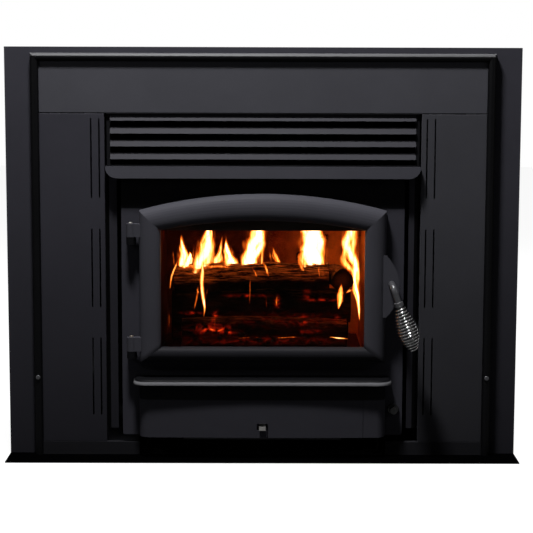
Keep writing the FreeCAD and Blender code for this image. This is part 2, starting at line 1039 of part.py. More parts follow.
def make_blower_motor():
    half = motor_length / 2
    can = rod(motor_radius, shaft_point(-half), shaft_point(half))
    can = can.makeFillet(motor_end_round, edges_where(can, lambda p: near(abs(p.x), half)))
    foot_half = motor_foot_width / 2
    y0 = blower_center_y - motor_foot_depth / 2
    foot = block(-foot_half, foot_half, y0, y0 + motor_foot_depth, blower_plate_top, blower_z)
    bore = rod(
        blower_shaft_radius + running_clearance, shaft_point(-half - overrun), shaft_point(half + overrun)
    )
    return joined([can, foot]).cut(bore)


def make_blower_wheel():
    x0, x1 = scroll_place()
    start = (x0 + x1 - wheel_width) / 2
    end = start + wheel_width
    disc = rod(wheel_radius, shaft_point(start), shaft_point(start + wheel_disc))
    hub = rod(hub_radius, shaft_point(start), shaft_point(start + hub_length))
    inner = wheel_radius - wheel_ring
    ring = tube(wheel_radius, inner, shaft_point(end - wheel_disc), shaft_point(end))
    middle = (wheel_radius + inner) / 2
    blade = block(
        start,
        end,
        blower_center_y - blade_thickness / 2,
        blower_center_y + blade_thickness / 2,
        blower_z + middle - blade_chord / 2,
        blower_z + middle + blade_chord / 2,
    )
    blade.rotate(shaft_point(0) + V(0, 0, middle), V(1, 0, 0), blade_lean)
    rim = rod(wheel_radius, shaft_point(start), shaft_point(end))
    blade = blade.common(rim)
    blades = []
    for i in range(blade_count):
        copy = blade.copy()
        copy.rotate(shaft_point(0), V(1, 0, 0), 360 * i / blade_count)
        blades.append(copy)
    return joined([disc, hub, ring] + blades)


def make_blower_rotor():
    wheel = make_blower_wheel()
    half = scroll_place()[1]
    shaft = rod(blower_shaft_radius, shaft_point(-half), shaft_point(half))
    return joined([shaft, wheel, mirrored(wheel)])


def make_speed_control():
    half = control_width / 2
    low = knob_z - control_height / 2
    body = block(
        knob_x - half, knob_x + half, face_back, face_back + control_depth, low, low + control_height
    )
    socket = rod(
        knob_shaft_radius + running_clearance,
        V(knob_x, face_back - overrun, knob_z),
        V(knob_x, face_back + control_socket, knob_z),
    )
    return body.cut(socket)


def make_speed_knob():
    back = face_y - knob_gap
    front = back - knob_depth
    step = back - knob_skirt
    profile = [
        (0, back),
        (knob_radius, back),
        (knob_radius, step + knob_round),
        (knob_radius - knob_round, step),
        (knob_grip_radius, step),
        (knob_grip_radius, front + knob_round),
        (knob_grip_radius - knob_round, front),
        (0, front),
    ]
    points = [V(knob_x + radius, y, knob_z) for radius, y in profile]
    half_section = Part.Face(Part.makePolygon(points + points[:1]))
    body = half_section.revolve(V(knob_x, 0, knob_z), V(0, 1, 0), 360)
    half = knob_pointer / 2
    groove = block(
        knob_x - half, knob_x + half, front - overrun, front + knob_pointer, knob_z, knob_z + knob_radius
    )
    tip = face_back + control_socket - slide_clearance
    shaft = rod(knob_shaft_radius, V(knob_x, back, knob_z), V(knob_x, tip, knob_z))
    return joined([body.cut(groove), shaft])


# Door


def door_outline(share, y):
    """The door seen from the front: its rim at 0, the window at 1, and part of the way across each band between."""
    rise = door_rise + share * (window_rise - door_rise)
    half = door_half - share * door_side_band
    low = door_z + share * door_bottom_band
    high = door_corner - share * door_corner_band
    return arch_wire(half, low, high, rise, y)


def quarter_round():
    """Steps of a quarter round, as shares of its width and of its depth."""
    steps = []
    for i in range(door_round_steps + 1):
        angle = math.pi / 2 * i / door_round_steps
        steps.append((1 - math.cos(angle), 1 - math.sin(angle)))
    return steps


def make_door_moulding():
    """The pillow-fronted casting: outlines that rise to a crest from the rim and from the window."""
    outer = [door_outline(0, door_back)]
    inner = [door_outline(1, door_back + overrun)]
    for across, behind in quarter_round():
        outer.append(door_outline(door_outer_share * across, door_front + door_outer_fall * behind))
        inner.append(door_outline(1 - door_inner_share * across, door_front + door_inner_fall * behind))
    return Part.makeLoft(outer, True, True).cut(Part.makeLoft(inner, True, True))


def make_door_frame():
    pocket = arched(pocket_margin, seat_y, door_back + overrun)
    groove_y = door_back - rope_groove_depth
    groove = arched(rope_offset + rope_width, groove_y, door_back + overrun)
    groove = groove.cut(arched(rope_offset, groove_y - overrun, door_back + 2 * overrun))
    body = make_door_moulding().cut([pocket, groove])
    knuckles = [make_knuckle(low, high) for low, high in knuckle_spans()]
    bores = [
        rod(
            handle_rod_radius + running_clearance,
            V(latch_x, ear_front - overrun, latch_z),
            V(latch_x, ear_back + overrun, latch_z),
        )
    ]
    for low, high in knuckle_spans():
        bores.append(
            rod(pin_radius + running_clearance, hinge_point(low - overrun), hinge_point(high + overrun))
        )
    return joined([body, make_latch_ear()] + knuckles).cut(bores)


def knuckle_spans():
    return [(top + knuckle_gap, high) for _, top, high in hinge_stations()]


def make_knuckle(low, high):
    barrel = rod(knuckle_radius, hinge_point(low), hinge_point(high))
    web_half = knuckle_web_depth / 2
    reach = -door_half + knuckle_web_reach
    web = block(hinge_x, reach, hinge_y - web_half, hinge_y + web_half, low, high)
    return joined([barrel, web])


def make_latch_ear():
    root = door_half - ear_root
    low = V(door_half, ear_front, ear_center_z - ear_half_height)
    high = V(door_half, ear_front, ear_center_z + ear_half_height)
    tip = V(door_half + ear_reach, ear_front, ear_center_z)
    inner_low = V(root, ear_front, low.z)
    inner_high = V(root, ear_front, high.z)
    edges = [
        Part.Arc(low, tip, high).toShape(),
        Part.LineSegment(high, inner_high).toShape(),
        Part.LineSegment(inner_high, inner_low).toShape(),
        Part.LineSegment(inner_low, low).toShape(),
    ]
    return Part.Face(Part.Wire(edges)).extrude(V(0, ear_thickness, 0))


def make_door_glass():
    return arched(glass_margin, glass_y, glass_y + glass_thickness)


def make_glass_gasket():
    ring = arched(glass_margin, seat_y, glass_y)
    return ring.cut(arched(glass_gasket_margin, seat_y - overrun, glass_y + overrun))


def make_glass_retainer():
    y0 = glass_y + glass_thickness
    y1 = y0 + retainer_thickness
    ring = arched(pocket_margin - rope_side_gap, y0, y1)
    return ring.cut(arched(retainer_margin, y0 - overrun, y1 + overrun))


def make_door_gasket():
    y0 = door_back - rope_groove_depth + rope_side_gap
    y1 = face_y - rope_side_gap
    ring = arched(rope_offset + rope_width - rope_side_gap, y0, y1)
    ring = ring.cut(arched(rope_offset + rope_side_gap, y0 - overrun, y1 + overrun))
    return ring.makeFillet(rope_round, edges_where(ring, lambda p: near(p.y, y1)))


# Handle and latch


def make_handle_rod():
    tail = V(latch_x, pawl_back, latch_z)
    out = V(0, -1, 0)
    bend_start = handle_center - out * handle_bend
    bend_end = handle_center + handle_direction * handle_bend
    corner = handle_center + (handle_direction - out) * handle_bend
    bend_middle = corner + (out - handle_direction).normalize() * handle_bend
    end = handle_center + handle_direction * handle_rod_length
    path = Part.Wire(
        [
            Part.LineSegment(tail, bend_start).toShape(),
            Part.Arc(bend_start, bend_middle, bend_end).toShape(),
            Part.LineSegment(bend_end, end).toShape(),
        ]
    )
    section = Part.Wire([Part.makeCircle(handle_rod_radius, tail, out)])
    bar = path.makePipeShell([section], True, False)
    ferrule_end = handle_center + handle_direction * (grip_start - grip_wire_radius - slide_clearance)
    ferrule = rod(ferrule_radius, ferrule_end - handle_direction * ferrule_length, ferrule_end)
    ferrule = ferrule.makeFillet(ferrule_round, [e for e in ferrule.Edges if e.Length > ferrule_length])
    return joined([bar, ferrule])


def grip_point(turn):
    """A point of the grip's wire: it winds about the rod and swells to a belly, then draws in to a tip."""
    share = turn / grip_turns
    if share < grip_belly_share:
        swell = math.sin(math.pi / 2 * share / grip_belly_share)
        radius = grip_start_radius + (grip_belly_radius - grip_start_radius) * swell
    else:
        fall = math.cos(math.pi / 2 * (share - grip_belly_share) / (1 - grip_belly_share))
        radius = grip_tip_radius + (grip_belly_radius - grip_tip_radius) * fall
    across = V(0, 1, 0)
    side = handle_direction.cross(across)
    angle = 2 * math.pi * turn
    along = handle_center + handle_direction * (grip_start + grip_length * share)
    return along + across * (radius * math.cos(angle)) + side * (radius * math.sin(angle))


def grip_tangent(turn):
    step = 1 / (100 * grip_steps_per_turn)
    return (grip_point(turn + step) - grip_point(turn - step)).normalize()


def arc_from(start, tangent, end):
    """A circular arc that leaves one point along a tangent and ends at another."""
    chord = end - start
    way = chord * (1 / chord.Length)
    bulge = tangent - way * tangent.dot(way)
    half_turn = math.acos(min(1, tangent.dot(way)))
    height = chord.Length / 2 * math.tan(half_turn / 2)
    middle = start + chord * 0.5 + bulge.normalize() * height
    return Part.Arc(start, middle, end).toShape()


def biarc(start, start_way, end, end_way):
    """Two arcs that join two points and leave and meet them along the given tangents."""
    gap = end - start
    total = start_way + end_way
    spare = 2 * (1 - start_way.dot(end_way))
    lean = gap.dot(total)
    reach = (-lean + math.sqrt(lean * lean + spare * gap.dot(gap))) / spare
    middle = (start + start_way * reach + end - end_way * reach) * 0.5
    joint_way = (end - end_way * reach) - (start + start_way * reach)
    return [arc_from(start, start_way, middle), arc_from(middle, joint_way.normalize(), end)]


def make_handle_coil():
    steps = grip_turns * grip_steps_per_turn
    turns = [i / grip_steps_per_turn for i in range(steps + 1)]
    edges = []
    for a, b in zip(turns, turns[1:]):
        edges += biarc(grip_point(a), grip_tangent(a), grip_point(b), grip_tangent(b))
    section = Part.Wire([Part.makeCircle(grip_wire_radius, grip_point(0), grip_tangent(0))])
    report_grip_gap()
    return Part.Wire(edges).makePipeShell([section], True, False)


def report_grip_gap():
    """Print the least gap between neighbouring turns of the grip, measured on points."""
    per_turn = 24
    points = [grip_point(i / per_turn) for i in range(grip_turns * per_turn + 1)]
    least = grip_length
    for i, p in enumerate(points):
        for q in points[i + per_turn // 2 :]:
            least = min(least, p.distanceToPoint(q))
    print("handle coil: least gap to itself", round(least - 2 * grip_wire_radius, 2), "mm")


def make_latch_pawl():
    y0 = pawl_back - pawl_thickness
    center = V(latch_x, y0, latch_z)
    hub = rod(pawl_hub_radius, center, V(latch_x, pawl_back, latch_z))
    half = pawl_width / 2
    finger = block(latch_x, latch_x + pawl_length, y0, pawl_back, latch_z - half, latch_z + half)
    finger.rotate(center, V(0, 1, 0), pawl_lean)
    bore = rod(handle_rod_radius, center - V(0, overrun, 0), V(latch_x, pawl_back + overrun, latch_z))
    return joined([hub, finger]).cut(bore)


# Surround


def make_wall_flange():
    outer = block(-surround_half, surround_half, flange_y, 0, floor_sheet, surround_top)
    half = surround_half - flange_leg
    opening = block(
        -half, half, flange_y - overrun, overrun, floor_sheet - overrun, surround_top - flange_head
    )
    return outer.cut(opening)


def bead_face(place):
    """The half-round section of the trim, as a sheet open at the back; place maps across and out."""

    def outline(inset):
        shoulder = trim_depth - trim_width / 2
        low, high = inset, trim_width - inset
        corners = [(low, 0), (low, shoulder), (trim_width / 2, trim_depth - inset), (high, shoulder), (high, 0)]
        points = [place(a, b) for a, b in corners]
        return Part.Face(
            Part.Wire(
                [
                    Part.LineSegment(points[0], points[1]).toShape(),
                    Part.Arc(points[1], points[2], points[3]).toShape(),
                    Part.LineSegment(points[3], points[4]).toShape(),
                    Part.LineSegment(points[4], points[0]).toShape(),
                ]
            )
        )

    return outline(0).cut(outline(sheet)).Faces[0]


def mitre_wedge():
    """Everything above the mitre line at the right-hand corner of the trim."""
    x0 = panel_outer - overrun
    x1 = trim_outer + overrun
    points = [
        (x0, top_panel_top - overrun),
        (x1, trim_top + overrun),
        (x0, trim_top + overrun),
    ]
    return prism(points, "Y", flange_y - trim_depth - overrun, overrun)


def make_trim_side():
    face = bead_face(lambda across, out: V(panel_outer + across, flange_y - out, floor_sheet))
    bead = face.extrude(V(0, 0, trim_top - floor_sheet)).cut(mitre_wedge())
    radius = screw_shank_radius + screw_hole_clearance
    x = panel_outer + trim_width / 2
    hole = rod(radius, V(x, flange_y, screw_z), V(x, flange_y - trim_depth - overrun, screw_z))
    return bead.cut(hole)


def make_trim_top():
    face = bead_face(lambda across, out: V(-trim_outer, flange_y - out, top_panel_top + across))
    bead = face.extrude(V(2 * trim_outer, 0, 0))
    x0 = panel_outer - overrun
    x1 = trim_outer + overrun
    points = [
        (x0, top_panel_top - overrun),
        (x1, trim_top + overrun),
        (x1, top_panel_top - overrun),
    ]
    below = prism(points, "Y", flange_y - trim_depth - overrun, overrun)
    return bead.cut([below, mirrored(below)])


def make_trim_screws():
    x = panel_outer + trim_width / 2
    crown = flange_y - trim_depth
    head = rod(screw_head_radius, V(x, crown, screw_z), V(x, crown - screw_head_height, screw_z))
    front = edges_where(head, lambda p: near(p.y, crown - screw_head_height))
    head = head.makeFillet(screw_head_round, front)
    shank = rod(screw_shank_radius, V(x, crown, screw_z), V(x, flange_y, screw_z))
    return both_sides(joined([head, shank]))


def tray(x0, x1, z0, z1):
    """A facing panel: a sheet with its four edges folded back to the wall flange."""
    body = block(x0, x1, panel_y, flange_y, z0, z1)
    body = body.makeFillet(panel_fold_round, edges_where(body, lambda p: near(p.y, panel_y)))
    hollow = block(x0 + sheet, x1 - sheet, panel_y + sheet, flange_y + overrun, z0 + sheet, z1 - sheet)
    return body.cut(hollow)


def make_top_panel():
    return tray(-panel_outer, panel_outer, louver_top, top_panel_top)


def vent_slot(x, z0):
    """A tall air slot with round ends, as a cutting tool."""
    radius = slot_width / 2
    y0 = panel_y - overrun
    y1 = panel_y + sheet + overrun
    return rounded_block(x - radius, x + radius, y0, y1, z0, z0 + slot_length, radius - running_clearance)


def make_side_panel():
    panel = tray(panel_inner, panel_outer, rail_top, louver_top - panel_gap)
    slots = []
    for inset in slot_insets:
        for row in range(slot_rows):
            slots.append(vent_slot(panel_inner + inset, rail_top + slot_first + row * slot_pitch))
    return panel.cut(slots)


def make_louver_frame():
    """A frame whose side posts stand behind the faces of the head and the sill."""
    low = louver_z + louver_wall
    high = louver_top - louver_wall
    front = panel_y - overrun
    outer = block(-louver_half, louver_half, panel_y, louver_back, louver_z, louver_top)
    middle = block(-slat_half, slat_half, front, louver_back + overrun, low, high)
    end = louver_half + overrun
    relief = block(-end, end, front, panel_y + louver_post_setback, low, high)
    return outer.cut([middle, relief])


def make_louver_slats():
    slats = []
    for i in range(slat_count):
        y = panel_y + slat_setback
        z = louver_z + slat_first + i * slat_pitch
        line = [(y, z), (y + slat_depth, z + slat_rise)]
        slats.append(prism(folded(line, sheet), "X", -slat_half, slat_half))
    return Part.makeCompound(slats)


def make_visor():
    half = panel_inner - visor_gap
    bend_y = face_y - heavy_sheet - visor_ledge
    lip_y = bend_y - visor_reach
    line = [
        (panel_y + visor_flange, louver_z),
        (bend_y, louver_z),
        (lip_y, louver_z - visor_drop),
    ]
    body = prism(folded(line, heavy_sheet), "X", -half, half)
    corners = []
    for edge in body.Edges:
        if near(edge.Length, heavy_sheet) and edge.CenterOfMass.y < lip_y + heavy_sheet:
            corners.append(edge)
    return body.makeFillet(visor_corner, corners)


def make_jambs():
    inner = face_half + jamb_gap
    outer = inner + jamb_width
    line = [
        (inner, -jamb_setout),
        (outer, -jamb_setout),
        (outer, flange_y),
        (outer + jamb_lap, flange_y),
    ]
    return both_sides(prism(folded(line, sheet), "Z", jamb_bottom, face_top))


def make_bottom_rails():
    line = [
        (-rail_setout, floor_sheet),
        (-rail_setout, rail_top),
        (flange_y, rail_top),
    ]
    rail = prism(folded(line, -sheet), "X", panel_outer - rail_length, panel_outer)
    return both_sides(rail)


pieces = {
    "spark_strip": make_spark_strip,
    "wall_flange": make_wall_flange,
    "trim_top": make_trim_top,
    "trim_left": lambda: mirrored(make_trim_side()),
    "trim_right": make_trim_side,
    "trim_screws": make_trim_screws,
    "top_panel": make_top_panel,
    "side_panel_left": lambda: mirrored(make_side_panel()),
    "side_panel_right": make_side_panel,
    "louver_frame": make_louver_frame,
    "louver_slats": make_louver_slats,
    "visor": make_visor,
    "jambs": make_jambs,
    "bottom_rails": make_bottom_rails,
    "cabinet_floor": make_cabinet_floor,
    "cabinet_sides": make_cabinet_sides,
    "cabinet_back": make_cabinet_back,
    "cabinet_top": make_cabinet_top,
    "heat_shields": make_heat_shields,
    "top_standoffs": make_top_standoffs,
    "hold_down_tabs": make_hold_down_tabs,
    "chimney_anchor": make_chimney_anchor,
    "flue_pipe": make_flue_pipe,
    "outside_air_collar": make_outside_air_collar,
    "firebox_sides": make_firebox_sides,
    "firebox_back": make_firebox_back,
    "firebox_floor": make_firebox_floor,
    "firebox_top": make_firebox_top,
    "firebricks_floor": make_firebricks_floor,
    "firebricks_sides": make_firebricks_sides,
    "firebricks_back": make_firebricks_back,
    "air_doghouse": make_air_doghouse,
    "air_channels": make_air_channels,
    "air_tubes": make_air_tubes,
    "baffle_board": make_baffle_board,
    "stove_base": make_stove_base,
    "front_plate": make_front_plate,
    "ash_shelf": make_ash_shelf,
    "lower_cover": make_lower_cover,
    "cover_end": make_cover_end,
    "slide_guides": make_slide_guides,
    "air_slide": make_air_slide,
    "blower_base": make_blower_base,
    "blower_housings": make_blower_housings,
    "blower_motor": make_blower_motor,
    "blower_rotor": make_blower_rotor,
    "speed_control": make_speed_control,
    "speed_knob": make_speed_knob,
    "hinge_lugs": make_hinge_lugs,
    "hinge_pins": make_hinge_pins,
    "latch_keeper": make_latch_keeper,
    "door_frame": make_door_frame,
    "door_glass": make_door_glass,
    "glass_gasket": make_glass_gasket,
    "glass_retainer": make_glass_retainer,
    "door_gasket": make_door_gasket,
    "handle_rod": make_handle_rod,
    "handle_coil": make_handle_coil,
    "latch_pawl": make_latch_pawl,
}

os.makedirs("parts", exist_ok=True)
for name, make in pieces.items():
    shape = make()
    if not shape.isValid() or not shape.Solids:
        raise ValueError(name + " is not a sound solid")
    shape.exportStep("parts/" + name + ".step")
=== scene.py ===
"""The looks of a built-in wood fireplace: stove paint, firebrick, glass, a burning stack of logs, and a studio."""

import bpy
import numpy as np
from mathutils import Matrix, Vector


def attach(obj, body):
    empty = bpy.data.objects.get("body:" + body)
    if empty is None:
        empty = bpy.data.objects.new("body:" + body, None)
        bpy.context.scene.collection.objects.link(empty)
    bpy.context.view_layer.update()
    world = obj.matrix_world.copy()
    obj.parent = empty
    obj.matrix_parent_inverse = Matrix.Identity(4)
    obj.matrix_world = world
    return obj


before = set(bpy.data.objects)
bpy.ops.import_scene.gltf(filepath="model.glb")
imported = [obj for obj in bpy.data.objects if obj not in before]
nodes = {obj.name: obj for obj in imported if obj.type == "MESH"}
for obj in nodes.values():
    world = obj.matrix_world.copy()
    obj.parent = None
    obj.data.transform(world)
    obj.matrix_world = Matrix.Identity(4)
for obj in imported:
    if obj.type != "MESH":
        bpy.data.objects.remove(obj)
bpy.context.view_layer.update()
scene = bpy.context.scene
MM = 0.001
TURN = 2 * np.pi


class Reading:
    """A value in a finish. + - and * on it add Math nodes, also with a number on the left."""

    def __init__(self, finish, socket):
        self.finish = finish
        self.socket = socket

    def maths(self, operation, first, second):
        return self.finish.node("ShaderNodeMath", {"operation": operation}, {0: first, 1: second})

    def __add__(self, other):
        return self.maths("ADD", self, other)

    def __radd__(self, other):
        return self.maths("ADD", other, self)

    def __sub__(self, other):
        return self.maths("SUBTRACT", self, other)

    def __rsub__(self, other):
        return self.maths("SUBTRACT", other, self)

    def __mul__(self, other):
        return self.maths("MULTIPLY", self, other)

    def __rmul__(self, other):
        return self.maths("MULTIPLY", other, self)

    def most(self, other):
        return self.maths("MAXIMUM", self, other)

    def ease(self, low, high):
        """0 below low, 1 above high, and a smooth rise between them."""
        settings = {"interpolation_type": "SMOOTHSTEP"}
        return self.finish.node("ShaderNodeMapRange", settings, {0: self, 1: low, 2: high})


class Finish:
    """One material, or the light of a world, built up node by node."""

    def __init__(self, name, world=None):
        self.holder = world or bpy.data.materials.new(name)
        self.holder.use_nodes = True
        self.tree = self.holder.node_tree
        self.tree.nodes.clear()
        self.end = self.tree.nodes.new("ShaderNodeOutputWorld" if world else "ShaderNodeOutputMaterial")

    def node(self, kind, settings=None, sockets=None, out=0):
        """A node of that kind, with its settings made first and then its sockets set or linked."""
        made = self.tree.nodes.new(kind)
        for name, value in (settings or {}).items():
            if name == "stops":
                self.set_stops(made.color_ramp, value)
            else:
                setattr(made, name, value)
        for key, value in (sockets or {}).items():
            self.feed(made.inputs[key], value)
        return Reading(self, made.outputs[out])

    def feed(self, socket, value):
        """Links a reading to the socket, or sets the socket to a number, a vector or a colour."""
        if isinstance(value, Reading):
            self.tree.links.new(value.socket, socket)
        elif socket.type == "RGBA":
            socket.default_value = (*value[:3], 1.0)
        else:
            socket.default_value = value

    @staticmethod
    def set_stops(ramp, stops):
        """Gives a colour ramp its stops, each a place and a colour."""
        while len(ramp.elements) < len(stops):
            ramp.elements.new(1.0)
        for element, (place, colour) in zip(ramp.elements, stops):
            element.position = place
            element.color = (*colour, 1.0)

    def place(self):
        return self.node("ShaderNodeTexCoord", out="Object")

    def stretched(self, scale):
        return self.node("ShaderNodeMapping", None, {"Vector": self.place(), "Scale": scale})

    def own(self, name):
        """A number that the piece carries at each of its points."""
        return self.node("ShaderNodeAttribute", {"attribute_name": name}, out="Fac")

    def height(self):
        return self.node("ShaderNodeSeparateXYZ", None, {0: self.place()}, out="Z")

    def across(self):
        return self.node("ShaderNodeSeparateXYZ", None, {0: self.place()}, out="X")

    def off_middle(self, middle=0.0):
        """How far a point is from the middle, to either side."""
        return self.node("ShaderNodeMath", {"operation": "ABSOLUTE"}, {0: self.across() - middle})

    def cloud(self, scale, detail=4.0, rough=0.55, at=None):
        """Soft noise from 0 to 1."""
        sockets = {"Vector": at or self.place(), "Scale": scale, "Detail": detail, "Roughness": rough}
        return self.node("ShaderNodeTexNoise", None, sockets)

    def cells(self, scale, feature="F1", at=None):
        """How far a point lies from the nearest seed, or from the nearest edge, of a random net."""
        sockets = {"Vector": at or self.place(), "Scale": scale}
        return self.node("ShaderNodeTexVoronoi", {"feature": feature}, sockets, "Distance")

    def blend(self, share, first, second):
        """The first colour where share is 0, the second where it is 1."""
        return self.node("ShaderNodeMix", {"data_type": "RGBA"}, {0: share, 6: first, 7: second}, out=2)

    def ramp(self, value, stops):
        return self.node("ShaderNodeValToRGB", {"stops": stops}, {0: value})

    def bump(self, height, strength, distance, under=None):
        sockets = {"Strength": strength, "Distance": distance, "Height": height}
        if under:
            sockets["Normal"] = under
        return self.node("ShaderNodeBump", None, sockets)

    def close(self, shader):
        """Ends the tree in that shader and gives back the material or the world."""
        self.tree.links.new(shader.socket, self.end.inputs["Surface"])
        return self.holder

    def body(self, **sockets):
        """Ends the finish in one principled surface."""
        named = {key.replace("_", " "): value for key, value in sockets.items()}
        return self.close(self.node("ShaderNodeBsdfPrincipled", None, named))


def shade(tone, share):
    """A colour made darker or lighter by a share."""
    return tuple(c * share for c in tone)


# Black of painted shade and shadow
painted_shade_black = (0.0043, 0.0043, 0.0051)
# Black of a painted shadow in a slot
painted_slot_shadow = (0.0005, 0.0005, 0.0006)
# Light grey of a painted highlight
painted_highlight_grey = (0.072, 0.072, 0.076)


def stove_paint(name, tone, gloss=0.46, grain=1.0, shine=0.05, foot=None, painted_slot_shadow_from=None, painted_shade=None):
    """Baked charcoal stove paint: a fine mist grain, faint clouding and dust that dulls it here and there. It can
    be darker towards the floor, as painted shade where the light falls off; black farther from the middle than a
    given distance, as painted shadow in a slot beside a panel; and black above a given height, as painted shadow."""
    f = Finish(name)
    clouds = f.cloud(5.0, 5.0)
    dust = f.cloud(38.0, 6.0, 0.7)
    mist = f.cloud(1500.0, 3.0, 0.6)
    peel = f.cloud(330.0, 2.0)
    base = f.blend(clouds * 0.55 + dust * 0.3 + mist * 0.15, shade(tone, 0.74), shade(tone, 1.3))
    # Painted shade: darker towards the floor, where the light falls off
    if foot:
        darkest, full = -0.25, 0.65
        base = f.blend(f.height().ease(darkest, full), shade(tone, foot), base)
    # Painted shadow: black beside the panels, standing for a slot in shade
    if painted_slot_shadow_from:
        middle, edge = -0.002, 0.001
        base = f.blend(f.off_middle(middle).ease(painted_slot_shadow_from, painted_slot_shadow_from + edge), base, painted_slot_shadow)
    # Painted shadow: black above this height
    if painted_shade:
        edge = 0.003
        base = f.blend(f.height().ease(painted_shade, painted_shade + edge), base, painted_shade_black)
    rough = gloss + clouds * 0.1 + dust * 0.12
    fine = f.bump(mist, 0.11 * grain, 0.0005)
    return f.body(
        Base_Color=base, Roughness=rough, Specular_IOR_Level=shine,
        Normal=f.bump(peel, 0.07 * grain, 0.0012, fine),
    )


def gloss_black(name, tone, gloss, edge):
    """Smooth gloss enamel: nearly black, with slow waves in the coat and a little haze, lighter above the height
    'edge', as a painted highlight along its top."""
    f = Finish(name)
    haze = f.cloud(26.0, 5.0, 0.6)
    wave = f.cloud(60.0, 2.0)
    fade = 0.0015
    black = f.blend(haze, shade(tone, 0.7), shade(tone, 1.3))
    # Painted highlight: light grey above the edge height, along the trim's top
    base = f.blend(f.height().ease(edge, edge + fade), black, painted_highlight_grey)
    return f.body(
        Base_Color=base, Roughness=gloss + haze * 0.08, Specular_IOR_Level=0.12,
        Normal=f.bump(wave, 0.02, 0.001),
    )


def cast_paint(name, tone, painted_shade):
    """The same paint over a sand casting, with a pitted grain. The last argument gives, from the finish, the share
    of painted shade that blackens a place."""
    f = Finish(name)
    clouds = f.cloud(7.0, 4.0)
    sand = f.cloud(620.0, 4.0, 0.65)
    pits = f.cells(420.0).ease(0.05, 0.3)
    paint = f.blend(clouds * 0.6 + sand * 0.4, shade(tone, 0.76), shade(tone, 1.28))
    base = f.blend(painted_shade(f), paint, painted_shade_black)
    coarse = f.bump(sand, 0.2, 0.0006)
    return f.body(
        Base_Color=base, Roughness=0.4 + clouds * 0.12 + sand * 0.1, Specular_IOR_Level=0.04,
        Normal=f.bump(pits, 0.1, 0.0005, coarse),
    )


def door_painted_shade(f):
    """Painted shade on the door's foot, up to the mitres at its corners."""
    window_half, mitre, most_shade = 0.201, 0.73, 0.75
    above = f.height() + (f.off_middle() - window_half).most(0) * mitre
    return most_shade - most_shade * above.ease(0.226, 0.238)


def shelf_painted_shadow(f):
    """Painted shadow of the door on the shelf, above its nose."""
    nose_top, fade = 0.1582, 0.0016
    return f.height().ease(nose_top, nose_top + fade)


def galvanised():
    """Zinc-coated sheet: flakes of spangle in greys, slow clouds and a few dull water marks."""
    f = Finish("galvanised")
    flakes = f.node("ShaderNodeTexVoronoi", None, {"Vector": f.place(), "Scale": 95.0}, out="Color")
    tone = f.node("ShaderNodeSeparateColor", None, {0: flakes})
    clouds = f.cloud(6.0, 5.0)
    marks = f.cloud(14.0, 6.0, 0.7).ease(0.52, 0.72)
    bright = f.blend(tone, (0.22, 0.225, 0.23), (0.31, 0.315, 0.32))
    base = f.blend(marks * 0.5, bright, (0.19, 0.195, 0.2))
    return f.body(
        Base_Color=base, Metallic=0.5, Roughness=0.64 + tone * 0.12 + clouds * 0.06 + marks * 0.08,
        Specular_IOR_Level=0.3, Normal=f.bump(tone + clouds * 0.4, 0.06, 0.0008),
    )


def worked_steel(name, tone, tint, gloss):
    """Bare steel with brushed streaks, clouded towards its heat tint."""
    f = Finish(name)
    streaks = f.cloud(1.0, 3.0, 0.6, f.stretched((60.0, 900.0, 900.0)))
    heat = f.cloud(9.0, 4.0).ease(0.4, 0.66)
    base = f.blend(heat, tone, tint)
    return f.body(
        Base_Color=base, Metallic=1.0, Roughness=gloss + streaks * 0.18 + heat * 0.08,
        Normal=f.bump(streaks, 0.05, 0.0004),
    )


def bright_nickel():
    """Bright plated wire: nearly a mirror, with faint hazing and hairline scratches."""
    f = Finish("bright_nickel")
    haze = f.cloud(70.0, 5.0, 0.6)
    hairs = f.cloud(1.0, 2.0, 0.5, f.stretched((300.0, 300.0, 2600.0)))
    base = f.blend(haze, (0.34, 0.34, 0.34), (0.46, 0.46, 0.46))
    return f.body(
        Base_Color=base, Metallic=1.0, Roughness=0.17 + haze * 0.04 + hairs * 0.02,
        Normal=f.bump(hairs, 0.03, 0.0003),
    )


def firebrick():
    """Pressed refractory brick with pores and crumbs: red in the fire's light, lighter and warmer on the right as
    painted firelight, and blackened by soot in drifts, darker towards the left."""
    f = Finish("firebrick")
    body = f.cloud(24.0, 8.0, 0.65)
    crumbs = f.cells(260.0).ease(0.1, 0.55)
    pores = f.cloud(420.0, 4.0, 0.7)
    soot = (f.cloud(8.0, 6.0, 0.62) - f.across() * 0.9).ease(0.3, 0.66)
    # Painted firelight: lighter and warmer towards the right
    painted_fire_light = f.across().ease(0.02, 0.15)
    red = f.blend(body.ease(0.3, 0.7), (0.16, 0.018, 0.002), (0.5, 0.075, 0.009))
    red_with_fire_light = f.blend(painted_fire_light, red, (1.0, 0.28, 0.035))
    speckled = f.blend((1 - crumbs) * 0.3, red_with_fire_light, (0.6, 0.17, 0.04))
    base = f.blend(soot * 0.85, speckled, (0.02, 0.004, 0.0012))
    rough = f.bump(pores + crumbs * 0.5, 0.5, 0.0012)
    return f.body(
        Base_Color=base, Roughness=0.86 + soot * 0.08, Specular_IOR_Level=0.05,
        Normal=f.bump(body, 0.35, 0.004, rough),
    )


def fibre_board():
    """A pressed mineral board: pale, matt, with long fibres and smoke stains."""
    f = Finish("fibre_board")
    fibres = f.cloud(1.0, 5.0, 0.7, f.stretched((120.0, 900.0, 400.0)))
    stain = f.cloud(9.0, 5.0).ease(0.35, 0.7)
    pale = f.blend(fibres, (0.5, 0.45, 0.37), (0.66, 0.62, 0.54))
    base = f.blend(stain * 0.75, pale, (0.1, 0.08, 0.065))
    return f.body(Base_Color=base, Roughness=0.94, Normal=f.bump(fibres, 0.4, 0.001))


